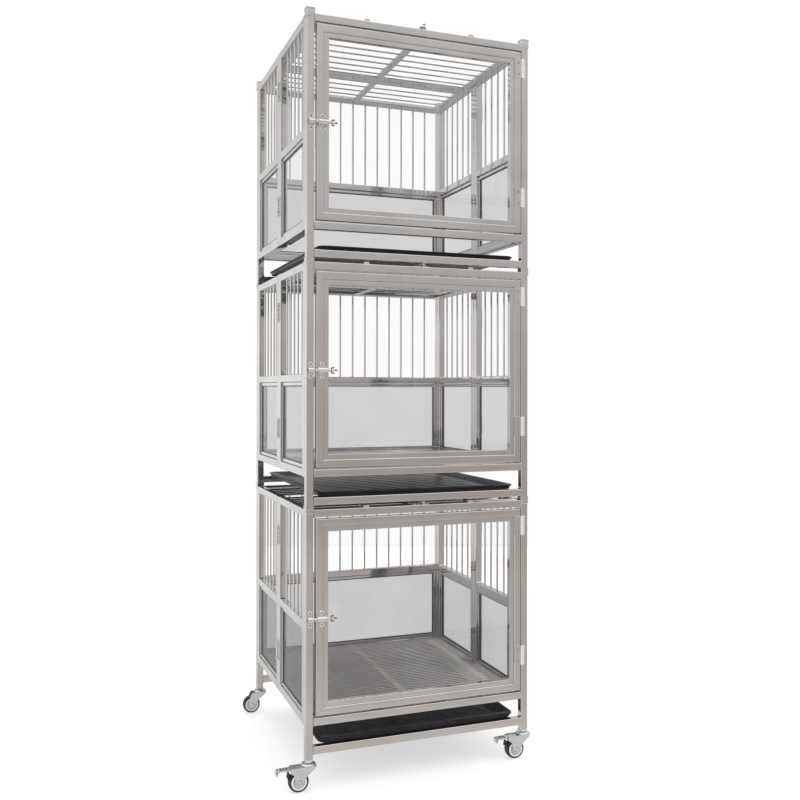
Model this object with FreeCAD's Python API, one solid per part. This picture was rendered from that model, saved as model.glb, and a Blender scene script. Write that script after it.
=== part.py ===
import FreeCAD, Part
import math
import os

Vector = FreeCAD.Vector

# A three-tier kennel cage on casters, in millimetres.
# X runs left to right, Y front to back and Z up from the floor. The helpers work from the outer
# front left corner of the cage; export() moves everything to the origin, which lies on the floor
# under the middle of the whole object's box.

# ---- driving dimensions ----
WIDTH = 600.0
DEPTH = 590.0
TIER_NAMES = ("lower", "middle", "upper")
FLOORED_TIERS = ("lower", "middle")
TIER_PITCH = 600.0
TUBE = 19.0
TUBE_RADIUS = 2.0
CASTER_HEIGHT = 72.0

# ---- heights within a tier, measured from the underside of its tray rails ----
FOOT_LENGTH = 14.0
BOTTOM_RAIL_Z = 68.0
MID_RAIL_Z = 299.0
TOP_RAIL_Z = 571.0
POST_TOP_Z = TOP_RAIL_Z + TUBE
JOINT_GAP = TIER_PITCH - POST_TOP_Z
CAP_TOP_Z = 602.0

# ---- stacking collars and top caps ----
COLLAR_WALL = 1.5
COLLAR_SKIRT = 9.0
COLLAR_TOP_Z = 599.7

# ---- grilles of the walls ----
BAR_RADIUS = 2.75
BACK_BARS = 13
SIDE_BARS = 5
FOLD_GAP = 1.0
POST_GAP = 1.0
GLASS = 4.0
BEAD_WIDTH = 10.0
BEAD_THICK = 9.0

# ---- door ----
DOOR_LEFT = 25.0
DOOR_RIGHT = 580.0
DOOR_GAP = 4.0
DOOR_BEAD_WIDTH = 12.5
DOOR_BEAD_THICK = 15.0
HINGE_LENGTH = 50.0
HINGE_HEIGHTS = (159.0, 499.0)
KNUCKLE_RADIUS = 3.0
PIN_RADIUS = 1.5
PIN_CLEARANCE = 0.05
LEAF = 1.5
DOOR_AXIS_X = 582.0
DOOR_AXIS_Y = -KNUCKLE_RADIUS - 0.2
KNUCKLE_GAP = 0.3
LEAF_INSET = 2.0
POST_LEAF_WIDTH = 5.0
PIN_END = 1.0
BORE_OVERRUN = 1.0
FOLD_HINGE_HEIGHTS = (149.0, 461.0)
FOLD_HINGE_LENGTH = 53.0

# ---- spring latches of the doors and of the roofs ----
LATCH_Z = 326.5
LATCH_HEIGHT = 41.0
LATCH_BAND = 14.0
LATCH_AXIS_OUT = 6.5
LATCH_REACH = 12.5
BOLT_RADIUS = 4.0
BOLT_CLEARANCE = 0.4
KEEPER_SPAN = (3.0, 18.0)
HOUSING_SPAN = (27.0, 51.0)
BOLT_TIP_X = 19.3
RING_SPAN = (59.0, 68.0)
RING_HALF = 8.5
RING_BAR = 2.5
KNOB_END_X = 75.0
SCREW_RADIUS = 3.0
SCREW_HEAD = 1.6

# ---- roof ----
ROOF_FLAT = 7.0
ROOF_ROD_RADIUS = 2.75
ROOF_ROD_FIRST_Y = 78.0
ROOF_ROD_PITCH = 40.5
ROOF_SPLIT_Y = 353.0
HATCH_GAP = 2.0
ROOF_STRIP = (291.0, 310.0)
ROOF_HINGE_X = (95.0, 455.0)
ROOF_PAD_X = (148.0, 430.0)
ROOF_PAD = (12.0, 35.0, 4.5)
ROOF_LATCH_X = 301.5
ROOF_LATCH_WIDTH = 44.0
ROOF_BOLT_RADIUS = 2.0
ROOF_LATCH_UP = 3.8
ROOF_BAND = 20.0
ROOF_BAND_TOP = 7.2
ROOF_HOUSING_INSET = 2.0
ROOF_KEEPER_INSET = 1.0
ROOF_BOLT_TIP_PAST_RAIL = 1.0
ROOF_KNOB_Y = -8.0
ROOF_BOLT_FRONT = 3.0
ROOF_STEM_RADIUS = 1.6
ROOF_STEM_SUNK = 0.4
ROOF_KNOB_RADIUS = 4.4
ROOF_KNOB_Z = (597.4, 599.6)

# ---- floor grille and tray ----
FLOOR_BAR_WIDTH = 16.0
FLOOR_BAR_TALL = 10.0
FLOOR_ROD_RADIUS = 2.0
FLOOR_ROD_PITCH = 13.0
LEDGE_WIDTH = 10.0
LEDGE_THICK = 3.0
TRAY_SIDE_GAP = 14.0
TRAY_SPAN_Y = (8.0, 580.0)
TRAY_LIFT = 0.3
TRAY_TALL = 12.0
TRAY_WALL = 2.0
TRAY_RIM = 9.0
TRAY_SLOPE = 34.0
TRAY_CORNER = 25.0

# ---- casters ----
WHEEL_RADIUS = 25.0
TYRE_WIDTH = 20.0
TYRE_ROUND = 4.0
HUB_RADIUS = 19.0
HUB_WIDTH = 21.0
AXLE_RADIUS = 3.0
AXLE_CLEARANCE = 0.05
TRAIL = 25.0
FORK_INSIDE = 11.5
FORK_PLATE = 2.0
HEAD_RADIUS = 18.5
HEAD_SPAN_Z = (60.0, 66.0)
INSERT_THICK = 2.0
STEM_NUT_RADIUS = 9.0
HEAD_CLEARANCE = 0.4
CHEEK_TOP_X = (-24.0, 17.0)
CHEEK_EAR = 9.0
CHEEK_LOW_Z = (20.0, 15.0, 22.0)
BRAKE_CHEEK_X = -44.0
BRAKE_CHEEK_Z = 50.0
AXLE_HEAD_RADIUS = 5.4
AXLE_HEAD_THICK = 2.5
PEDAL_REACH = 80.0
PEDAL_PIVOT = (-15.0, 56.5)
PEDAL_SPAN_Z = (54.5, 58.5)
PEDAL_HALF_WIDTH = 9.0
PEDAL_INNER_X = -10.5
PEDAL_LIP = 3.5
PEDAL_LIP_Z = 46.0
SHOE_SPAN_X = (-30.0, -20.0)
SHOE_BOTTOM_Z = 52.5

# ---- worked out from the above ----
POST_RIGHT_X = WIDTH - TUBE
POST_BACK_Y = DEPTH - TUBE
FOLD_Y = DEPTH / 2
STEM_INSET = TUBE / 2
DOOR_BOTTOM_Z = BOTTOM_RAIL_Z + TUBE + DOOR_GAP
DOOR_TOP_Z = TOP_RAIL_Z - DOOR_GAP
FLOOR_TOP_Z = BOTTOM_RAIL_Z + TUBE
LEFT_REACH = STEM_INSET - PEDAL_REACH
RIGHT_REACH = WIDTH - STEM_INSET + HEAD_RADIUS
BACK_REACH = DEPTH - STEM_INSET + HEAD_RADIUS
ORIGIN = Vector((LEFT_REACH + RIGHT_REACH) / 2, (BACK_REACH - LATCH_REACH) / 2, 0)


# ---- shapes ----
def box(x0, x1, y0, y1, z0, z1):
    return Part.makeBox(x1 - x0, y1 - y0, z1 - z0, Vector(x0, y0, z0))


def tube(x0, x1, y0, y1, z0, z1):
    """A length of square tube as a solid bar with its long edges rounded."""
    bar = box(x0, x1, y0, y1, z0, z1)
    length = max(x1 - x0, y1 - y0, z1 - z0)
    long_edges = [edge for edge in bar.Edges if abs(edge.Length - length) < 1e-6]
    return bar.makeFillet(TUBE_RADIUS, long_edges)


def rail_x(y, z, x0=TUBE, x1=POST_RIGHT_X):
    return tube(x0, x1, y, y + TUBE, z, z + TUBE)


def rail_y(x, z, y0, y1):
    return tube(x, x + TUBE, y0, y1, z, z + TUBE)


def post(x, y, z0, z1):
    return tube(x, x + TUBE, y, y + TUBE, z0, z1)


def rod(x, y, z, radius, length, direction):
    return Part.makeCylinder(radius, length, Vector(x, y, z), direction)


def rod_x(x0, x1, y, z, radius):
    return rod(x0, y, z, radius, x1 - x0, Vector(1, 0, 0))


def rod_y(x, y0, y1, z, radius):
    return rod(x, y0, z, radius, y1 - y0, Vector(0, 1, 0))


def rod_z(x, y, z0, z1, radius):
    return rod(x, y, z0, radius, z1 - z0, Vector(0, 0, 1))


def prism(points, sweep):
    """The polygon through the points, swept along a vector."""
    outline = Part.makePolygon([Vector(*point) for point in points + points[:1]])
    return Part.Face(outline).extrude(sweep)


def rounded_rectangle(x0, x1, y0, y1, z, radius):
    """A closed wire at height z with four quarter-circle corners."""
    diagonal = radius * math.sqrt(0.5)
    centres = [
        (x1 - radius, y0 + radius, -1),
        (x1 - radius, y1 - radius, 0),
        (x0 + radius, y1 - radius, 1),
        (x0 + radius, y0 + radius, 2),
    ]
    edges = []
    last = None
    first = None
    for cx, cy, quarter in centres:
        start_angle = quarter * math.pi / 2
        start = Vector(cx + radius * math.cos(start_angle), cy + radius * math.sin(start_angle), z)
        middle_angle = start_angle + math.pi / 4
        middle = Vector(
            cx + math.copysign(diagonal, math.cos(middle_angle)),
            cy + math.copysign(diagonal, math.sin(middle_angle)),
            z,
        )
        end_angle = start_angle + math.pi / 2
        end = Vector(cx + radius * math.cos(end_angle), cy + radius * math.sin(end_angle), z)
        if last is None:
            first = start
        else:
            edges.append(Part.LineSegment(last, start).toShape())
        edges.append(Part.Arc(start, middle, end).toShape())
        last = end
    edges.append(Part.LineSegment(last, first).toShape())
    return Part.Wire(edges)


def mitred_ring(x0, x1, y0, y1, z0, z1, width):
    """Four tubes round a rectangle in the XZ plane, cut at 45 degrees where they meet."""
    outer = [(x0, z0), (x1, z0), (x1, z1), (x0, z1)]
    inner = [
        (x0 + width, z0 + width),
        (x1 - width, z0 + width),
        (x1 - width, z1 - width),
        (x0 + width, z1 - width),
    ]
    spans = [
        (x0, x1, z0, z0 + width),
        (x1 - width, x1, z0, z1),
        (x0, x1, z1 - width, z1),
        (x0, x0 + width, z0, z1),
    ]
    bars = []
    for k, (low_x, high_x, low_z, high_z) in enumerate(spans):
        n = (k + 1) % 4
        corners = [outer[k], outer[n], inner[n], inner[k]]
        wedge = prism([(x, y0, z) for x, z in corners], Vector(0, y1 - y0, 0))
        bar = tube(low_x, high_x, y0, y1, low_z, high_z)
        bars.extend(bar.common(wedge).Solids)
    return bars


def bead_ring_xz(x0, x1, y0, y1, z0, z1, width):
    """Four flat glazing strips inside a rectangle in the XZ plane."""
    return [
        box(x0, x1, y0, y1, z0, z0 + width),
        box(x0, x1, y0, y1, z1 - width, z1),
        box(x0, x0 + width, y0, y1, z0 + width, z1 - width),
        box(x1 - width, x1, y0, y1, z0 + width, z1 - width),
    ]


def bead_ring_yz(x0, x1, y0, y1, z0, z1, width):
    """Four flat glazing strips inside a rectangle in the YZ plane."""
    return [
        box(x0, x1, y0, y1, z0, z0 + width),
        box(x0, x1, y0, y1, z1 - width, z1),
        box(x0, x1, y0, y0 + width, z0 + width, z1 - width),
        box(x0, x1, y1 - width, y1, z0 + width, z1 - width),
    ]


def spread(start, end, count):
    """Centres that divide the span into count + 1 equal gaps."""
    step = (end - start) / (count + 1)
    return [start + step * (k + 1) for k in range(count)]


def tier_base(tier):
    return CASTER_HEIGHT + FOOT_LENGTH + TIER_PITCH * tier


def export(node, solids, lift=0.0):
    """Write one node; lift raises shapes that are drawn from their tier's base."""
    group = Part.makeCompound(solids)
    group.translate(Vector(0, 0, lift) - ORIGIN)
    group.exportStep("parts/" + node + ".step")


# ---- frames of a tier ----
def post_bottom(tier):
    return -FOOT_LENGTH if tier == 0 else -JOINT_GAP


def front_frame(tier):
    bottom = post_bottom(tier)
    return [
        post(0, 0, bottom, POST_TOP_Z),
        post(POST_RIGHT_X, 0, bottom, POST_TOP_Z),
        rail_x(0, 0),
        rail_x(0, BOTTOM_RAIL_Z),
        rail_x(0, TOP_RAIL_Z),
    ]


def back_frame(tier):
    bottom = post_bottom(tier)
    solids = [
        post(0, POST_BACK_Y, bottom, POST_TOP_Z),
        post(POST_RIGHT_X, POST_BACK_Y, bottom, POST_TOP_Z),
    ]
    for z in (0, BOTTOM_RAIL_Z, MID_RAIL_Z, TOP_RAIL_Z):
        solids.append(rail_x(POST_BACK_Y, z))
    middle = POST_BACK_Y + TUBE / 2
    for x in spread(TUBE, POST_RIGHT_X, BACK_BARS):
        solids.append(rod_z(x, middle, MID_RAIL_Z + TUBE, TOP_RAIL_Z, BAR_RADIUS))
    low, high = BOTTOM_RAIL_Z + TUBE, MID_RAIL_Z
    near, far = middle - BEAD_THICK / 2, middle + BEAD_THICK / 2
    solids += bead_ring_xz(TUBE, POST_RIGHT_X, near, far, low, high, BEAD_WIDTH)
    return solids


def side_spans():
    """Front and back extent of the two folding halves of a side."""
    return [
        (TUBE + POST_GAP, FOLD_Y - FOLD_GAP / 2),
        (FOLD_Y + FOLD_GAP / 2, POST_BACK_Y - POST_GAP),
    ]


def side_half(x, y0, y1):
    """Half of a side wall: bars above the middle rail and glazing strips below it."""
    inner0, inner1 = y0 + TUBE, y1 - TUBE
    solids = [post(x, y0, BOTTOM_RAIL_Z, POST_TOP_Z), post(x, inner1, BOTTOM_RAIL_Z, POST_TOP_Z)]
    for z in (BOTTOM_RAIL_Z, MID_RAIL_Z, TOP_RAIL_Z):
        solids.append(rail_y(x, z, inner0, inner1))
    middle = x + TUBE / 2
    for y in spread(inner0, inner1, SIDE_BARS):
        solids.append(rod_z(middle, y, MID_RAIL_Z + TUBE, TOP_RAIL_Z, BAR_RADIUS))
    low, high = BOTTOM_RAIL_Z + TUBE, MID_RAIL_Z
    near, far = middle - BEAD_THICK / 2, middle + BEAD_THICK / 2
    solids += bead_ring_yz(near, far, inner0, inner1, low, high, BEAD_WIDTH)
    return solids


def side_frames(x, ledge_x):
    """Both halves of one side, each with the ledge that carries the floor grille."""
    solids = []
    top = FLOOR_TOP_Z - 2 * FLOOR_ROD_RADIUS - FLOOR_BAR_TALL
    for y0, y1 in side_spans():
        solids += side_half(x, y0, y1)
        ledge = (ledge_x, ledge_x + LEDGE_WIDTH, y0 + TUBE, y1 - TUBE, top - LEDGE_THICK, top)
        solids.append(box(*ledge))
    return solids


def wall_glass():
    """The back pane and the four side panes of a tier."""
    low, high = BOTTOM_RAIL_Z + TUBE + BEAD_WIDTH, MID_RAIL_Z - BEAD_WIDTH
    middle = POST_BACK_Y + TUBE / 2
    left, right = TUBE + BEAD_WIDTH, POST_RIGHT_X - BEAD_WIDTH
    panes = [box(left, right, middle - GLASS / 2, middle + GLASS / 2, low, high)]
    for x in (TUBE / 2, WIDTH - TUBE / 2):
        for y0, y1 in side_spans():
            front, back = y0 + TUBE + BEAD_WIDTH, y1 - TUBE - BEAD_WIDTH
            panes.append(box(x - GLASS / 2, x + GLASS / 2, front, back, low, high))
    return panes


# ---- floor and roof ----
def floor_grille():
    """Fine rods welded across a flat frame with one bar down the middle; the top tier has none."""
    x0, x1 = TUBE + FOLD_GAP / 2, POST_RIGHT_X - FOLD_GAP / 2
    y0, y1 = TUBE + FOLD_GAP, POST_BACK_Y - FOLD_GAP
    top = FLOOR_TOP_Z - 2 * FLOOR_ROD_RADIUS
    bottom = top - FLOOR_BAR_TALL
    centre = (x0 + x1) / 2
    bars = [
        box(x0, x0 + FLOOR_BAR_WIDTH, y0, y1, bottom, top),
        box(x1 - FLOOR_BAR_WIDTH, x1, y0, y1, bottom, top),
        box(centre - FLOOR_BAR_WIDTH / 2, centre + FLOOR_BAR_WIDTH / 2, y0, y1, bottom, top),
        box(x0, x1, y0, y0 + FLOOR_BAR_WIDTH, bottom, top),
        box(x0, x1, y1 - FLOOR_BAR_WIDTH, y1, bottom, top),
    ]
    sunk = FLOOR_ROD_RADIUS / 4
    z = top + FLOOR_ROD_RADIUS - sunk
    count = int((y1 - y0) / FLOOR_ROD_PITCH) - 1
    rods = [rod_x(x0, x1, y, z, FLOOR_ROD_RADIUS) for y in spread(y0, y1, count)]
    return [bars[0].multiFuse(bars[1:] + rods)]


def roof_rows(start, end):
    """Where the evenly pitched roof rods fall between two cross bars."""
    rows = []
    y = ROOF_ROD_FIRST_Y
    while y < end - ROOF_ROD_RADIUS:
        if y > start + ROOF_ROD_RADIUS:
            rows.append(y)
        y += ROOF_ROD_PITCH
    return rows


def roof_half(x0, x1, y0, y1, tall_front):
    """Flat bars round one part of the roof, a strip down the middle and rods laid across them."""
    low, high = TOP_RAIL_Z, TOP_RAIL_Z + ROOF_FLAT
    if tall_front:
        front_bar = tube(x0, x1, y0, y0 + TUBE, low, POST_TOP_Z)
    else:
        front_bar = box(x0, x1, y0, y0 + TUBE, low, high)
    solids = [
        front_bar,
        box(x0, x1, y1 - TUBE, y1, low, high),
        box(x0, x0 + TUBE, y0 + TUBE, y1 - TUBE, low, high),
        box(x1 - TUBE, x1, y0 + TUBE, y1 - TUBE, low, high),
        box(ROOF_STRIP[0], ROOF_STRIP[1], y0 + TUBE, y1 - TUBE, low, high),
    ]
    for y in roof_rows(y0 + TUBE, y1 - TUBE):
        solids.append(rod_x(x0 + TUBE / 4, x1 - TUBE / 4, y, high + ROOF_ROD_RADIUS, ROOF_ROD_RADIUS))
    return solids


def rear_roof():
    y0, y1 = ROOF_SPLIT_Y + FOLD_GAP / 2, POST_BACK_Y - POST_GAP
    return roof_half(TUBE, POST_RIGHT_X, y0, y1, False)


def roof_pads():
    """Two tabs on the hatch that come to rest on the front rail."""
    wide, deep, tall = ROOF_PAD
    back = 2 * TUBE
    return [box(x, x + wide, back - deep, back, POST_TOP_Z, POST_TOP_Z + tall) for x in ROOF_PAD_X]


def roof_band(y0, y1):
    """A latch band on top of a bar: a wide plate, and two cheeks and a bridge over the bolt."""
    low = POST_TOP_Z + LEAF
    top = POST_TOP_Z + ROOF_BAND_TOP
    under = POST_TOP_Z + ROOF_LATCH_UP + ROOF_BOLT_RADIUS + BOLT_CLEARANCE
    half, clear = ROOF_BAND / 2, ROOF_BOLT_RADIUS + BOLT_CLEARANCE
    wide = ROOF_LATCH_WIDTH / 2
    x = ROOF_LATCH_X
    solids = [
        box(x - wide, x + wide, y0, y1, POST_TOP_Z, low),
        box(x - half, x - clear, y0, y1, low, under),
        box(x + clear, x + half, y0, y1, low, under),
        box(x - half, x + half, y0, y1, under, top),
    ]
    reach = (wide + half) / 2
    for screw_x in (x - reach, x + reach):
        solids.append(rod_z(screw_x, (y0 + y1) / 2, low, low + SCREW_HEAD, SCREW_RADIUS))
    return solids


def front_roof():
    """The front part of a roof with its rest tabs and its latch keeper."""
    y0, y1 = TUBE + HATCH_GAP, ROOF_SPLIT_Y - FOLD_GAP / 2
    solids = roof_half(TUBE + HATCH_GAP, POST_RIGHT_X - HATCH_GAP, y0, y1, True)
    solids += roof_pads()
    solids += roof_band(y0 + ROOF_KEEPER_INSET, y0 + TUBE - ROOF_KEEPER_INSET)
    return solids


def roof_latch_housing():
    return roof_band(ROOF_HOUSING_INSET, TUBE - ROOF_HOUSING_INSET)


def roof_bolt():
    """The sliding bolt of a roof latch, drawn back, with its upright knob ahead of the rail."""
    z = POST_TOP_Z + ROOF_LATCH_UP
    front = ROOF_KNOB_Y - ROOF_BOLT_FRONT
    shaft = rod_y(ROOF_LATCH_X, front, TUBE + ROOF_BOLT_TIP_PAST_RAIL, z, ROOF_BOLT_RADIUS)
    low, high = ROOF_KNOB_Z
    sunk = z + ROOF_BOLT_RADIUS - ROOF_STEM_SUNK
    neck = rod_z(ROOF_LATCH_X, ROOF_KNOB_Y, sunk, low, ROOF_STEM_RADIUS)
    knob = rod_z(ROOF_LATCH_X, ROOF_KNOB_Y, low, high, ROOF_KNOB_RADIUS)
    return [shaft, neck, knob]


def roof_hinge_axis():
    return ROOF_SPLIT_Y, TOP_RAIL_Z + ROOF_FLAT + KNUCKLE_RADIUS


def roof_hinge_leaves(front):
    """Leaves and knuckles on one side of the split; the rear side carries the middle knuckle."""
    y, z = roof_hinge_axis()
    top = TOP_RAIL_Z + ROOF_FLAT
    third = HINGE_LENGTH / 3
    solids = []
    for x in ROOF_HINGE_X:
        if front:
            near, far = y - TUBE + LEAF_INSET, y - KNUCKLE_RADIUS
            spans = [(x, x + third), (x + 2 * third, x + HINGE_LENGTH)]
        else:
            near, far = y + KNUCKLE_RADIUS, y + TUBE - LEAF_INSET
            spans = [(x + third + KNUCKLE_GAP, x + 2 * third - KNUCKLE_GAP)]
        solids.append(box(x, x + HINGE_LENGTH, near, far, top, top + LEAF))
        for low, high in spans:
            solids.append(rod_x(low, high, y, z, KNUCKLE_RADIUS))
    return solids


# ---- tray ----
def tray():
    """A shallow moulded tray: a flat rim, long sloping walls and a level bottom."""
    x0, x1 = TUBE + TRAY_SIDE_GAP, POST_RIGHT_X - TRAY_SIDE_GAP
    y0, y1 = TRAY_SPAN_Y
    low = TUBE + TRAY_LIFT
    high = low + TRAY_TALL
    outline = rounded_rectangle(x0, x1, y0, y1, low, TRAY_CORNER)
    block = Part.Face(outline).extrude(Vector(0, 0, TRAY_TALL))
    rim = rounded_rectangle(
        x0 + TRAY_RIM, x1 - TRAY_RIM, y0 + TRAY_RIM, y1 - TRAY_RIM, high, TRAY_CORNER - TRAY_RIM
    )
    inset = TRAY_RIM + TRAY_SLOPE
    floor = rounded_rectangle(
        x0 + inset, x1 - inset, y0 + inset, y1 - inset, low + TRAY_WALL, TRAY_CORNER - TRAY_RIM
    )
    return [block.cut(Part.makeLoft([rim, floor], True, True))]


# ---- doors ----
def door_frame():
    return mitred_ring(DOOR_LEFT, DOOR_RIGHT, 0, TUBE, DOOR_BOTTOM_Z, DOOR_TOP_Z, TUBE) + bead_ring_xz(
        DOOR_LEFT + TUBE, DOOR_RIGHT - TUBE,
        (TUBE - DOOR_BEAD_THICK) / 2, (TUBE + DOOR_BEAD_THICK) / 2,
        DOOR_BOTTOM_Z + TUBE, DOOR_TOP_Z - TUBE, DOOR_BEAD_WIDTH,
    )


def door_glass():
    inset = TUBE + DOOR_BEAD_WIDTH
    return [
        box(
            DOOR_LEFT + inset, DOOR_RIGHT - inset,
            (TUBE - GLASS) / 2, (TUBE + GLASS) / 2,
            DOOR_BOTTOM_Z + inset, DOOR_TOP_Z - inset,
        )
    ]


def latch_band(x0, x1):
    """A latch band on the front face: a tall plate, and two cheeks and a bridge over the bolt."""
    half, clear = LATCH_BAND / 2, BOLT_RADIUS + BOLT_CLEARANCE
    under = -LATCH_AXIS_OUT - clear
    tall = LATCH_HEIGHT / 2
    z = LATCH_Z
    solids = [
        box(x0, x1, -LEAF, 0, z - tall, z + tall),
        box(x0, x1, under, -LEAF, z - half, z - clear),
        box(x0, x1, under, -LEAF, z + clear, z + half),
        box(x0, x1, -LATCH_REACH, under, z - half, z + half),
    ]
    reach = (tall + half) / 2
    for screw_z in (z - reach, z + reach):
        solids.append(rod_y((x0 + x1) / 2, -LEAF - SCREW_HEAD, -LEAF, screw_z, SCREW_RADIUS))
    return solids


def door_knuckle_spans(low):
    """Heights of the door's middle knuckle, then of the post's two outer knuckles."""
    third = HINGE_LENGTH / 3
    door = (low + third + KNUCKLE_GAP, low + 2 * third - KNUCKLE_GAP)
    return door, [(low, low + third), (low + 2 * third, low + HINGE_LENGTH)]


def door_fittings():
    """The door's hinge leaves with their bored knuckles and screws, and its latch housing."""
    solids = []
    leaf_left = DOOR_RIGHT - TUBE
    leaf_right = DOOR_AXIS_X - KNUCKLE_RADIUS
    for low in HINGE_HEIGHTS:
        solids.append(box(leaf_left, leaf_right, -LEAF, 0, low, low + HINGE_LENGTH))
        z0, z1 = door_knuckle_spans(low)[0]
        barrel = rod_z(DOOR_AXIS_X, DOOR_AXIS_Y, z0, z1, KNUCKLE_RADIUS)
        bore_z = (z0 - BORE_OVERRUN, z1 + BORE_OVERRUN)
        bore = rod_z(DOOR_AXIS_X, DOOR_AXIS_Y, *bore_z, PIN_RADIUS + PIN_CLEARANCE)
        solids.append(barrel.cut(bore))
        for z in (low + HINGE_LENGTH * 0.2, low + HINGE_LENGTH * 0.8):
            x = (leaf_left + leaf_right) / 2
            solids.append(rod_y(x, -LEAF - SCREW_HEAD, -LEAF, z, SCREW_RADIUS))
    return solids + latch_band(*HOUSING_SPAN)


def fixed_hinge_parts():
    """Post leaves, outer knuckles and pins of the two hinges of one door."""
    solids = []
    for low in HINGE_HEIGHTS:
        for z0, z1 in door_knuckle_spans(low)[1]:
            barrel = rod_z(DOOR_AXIS_X, DOOR_AXIS_Y, z0, z1, KNUCKLE_RADIUS)
            bore_z = (z0 - BORE_OVERRUN, z1 + BORE_OVERRUN)
            bore = rod_z(DOOR_AXIS_X, DOOR_AXIS_Y, *bore_z, PIN_RADIUS)
            solids.append(barrel.cut(bore))
        leaf_left = DOOR_AXIS_X + KNUCKLE_RADIUS
        solids.append(box(leaf_left, leaf_left + POST_LEAF_WIDTH, -LEAF, 0, low, low + HINGE_LENGTH))
        pin_z = (low - PIN_END, low + HINGE_LENGTH + PIN_END)
        solids.append(rod_z(DOOR_AXIS_X, DOOR_AXIS_Y, *pin_z, PIN_RADIUS))
    return solids


def door_bolt():
    """The spring latch's bolt, drawn back, with its pull ring and knob."""
    x0, x1 = RING_SPAN
    y = -LATCH_AXIS_OUT
    half = RING_BAR / 2
    inner = RING_HALF - RING_BAR
    return [
        rod_x(BOLT_TIP_X, x0, y, LATCH_Z, BOLT_RADIUS),
        box(x0, x0 + RING_BAR, y - half, y + half, LATCH_Z - RING_HALF, LATCH_Z + RING_HALF),
        box(x0 + RING_BAR, x1, y - half, y + half, LATCH_Z + inner, LATCH_Z + RING_HALF),
        box(x0 + RING_BAR, x1, y - half, y + half, LATCH_Z - RING_HALF, LATCH_Z - inner),
        rod_x(x0 + RING_BAR, KNOB_END_X, y, LATCH_Z, RING_BAR),
    ]


# ---- small fixed parts ----
def collar(x, y, outer_x, outer_y):
    """A sleeve round the joint of two posts, with a skirt down the two outer faces."""
    wall = COLLAR_WALL
    x0, x1 = x - wall, x + TUBE + wall
    y0, y1 = y - wall, y + TUBE + wall
    sleeve = box(x0, x1, y0, y1, POST_TOP_Z, COLLAR_TOP_Z)
    sleeve = sleeve.cut(box(x, x + TUBE, y, y + TUBE, POST_TOP_Z, COLLAR_TOP_Z))
    low = POST_TOP_Z - COLLAR_SKIRT
    skin_x = (x0, x) if outer_x < 0 else (x + TUBE, x1)
    skin_y = (y0, y) if outer_y < 0 else (y + TUBE, y1)
    side = box(*skin_x, min(y, skin_y[0]), max(y + TUBE, skin_y[1]), low, POST_TOP_Z)
    face = box(x, x + TUBE, *skin_y, low, POST_TOP_Z)
    return sleeve.multiFuse([side, face]).removeSplitter()


def post_corners():
    return [
        (0, 0, -1, -1),
        (POST_RIGHT_X, 0, 1, -1),
        (0, POST_BACK_Y, -1, 1),
        (POST_RIGHT_X, POST_BACK_Y, 1, 1),
    ]


def collars():
    return [collar(*corner) for corner in post_corners()]


def top_caps():
    """Plugs that close the four posts of the top tier, level with each other."""
    wall = COLLAR_WALL
    caps = []
    for x, y, _, _ in post_corners():
        caps.append(box(x, x + TUBE, y, y + TUBE, POST_TOP_Z, COLLAR_TOP_Z))
        outer = (x - wall, x + TUBE + wall, y - wall, y + TUBE + wall)
        caps.append(box(*outer, COLLAR_TOP_Z, CAP_TOP_Z))
    return caps


def side_fold_hinges():
    """Leaves and knuckles on the outside of both folding sides of a tier."""
    solids = []
    ahead = (FOLD_Y - TUBE + LEAF_INSET, FOLD_Y - KNUCKLE_RADIUS)
    behind = (FOLD_Y + KNUCKLE_RADIUS, FOLD_Y + TUBE - LEAF_INSET)
    for low in FOLD_HINGE_HEIGHTS:
        high = low + FOLD_HINGE_LENGTH
        for face, out in ((0, -1), (WIDTH, 1)):
            x0, x1 = sorted((face, face + out * LEAF))
            for y0, y1 in (ahead, behind):
                solids.append(box(x0, x1, y0, y1, low, high))
            solids.append(rod_z(face + out * KNUCKLE_RADIUS, FOLD_Y, low, high, KNUCKLE_RADIUS))
    return solids


# ---- casters ----
def stem(cx, cy):
    """The threaded insert's flange under a post and the stem's nut."""
    half = TUBE / 2
    top = CASTER_HEIGHT
    flange = box(cx - half, cx + half, cy - half, cy + half, top - INSERT_THICK, top)
    low = HEAD_SPAN_Z[1] + HEAD_CLEARANCE
    corners = []
    for k in range(6):
        angle = math.radians(60 * k)
        corners.append((cx + STEM_NUT_RADIUS * math.cos(angle), cy + STEM_NUT_RADIUS * math.sin(angle), low))
    nut = prism(corners, Vector(0, 0, top - INSERT_THICK - low))
    return [flange, nut]


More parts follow.
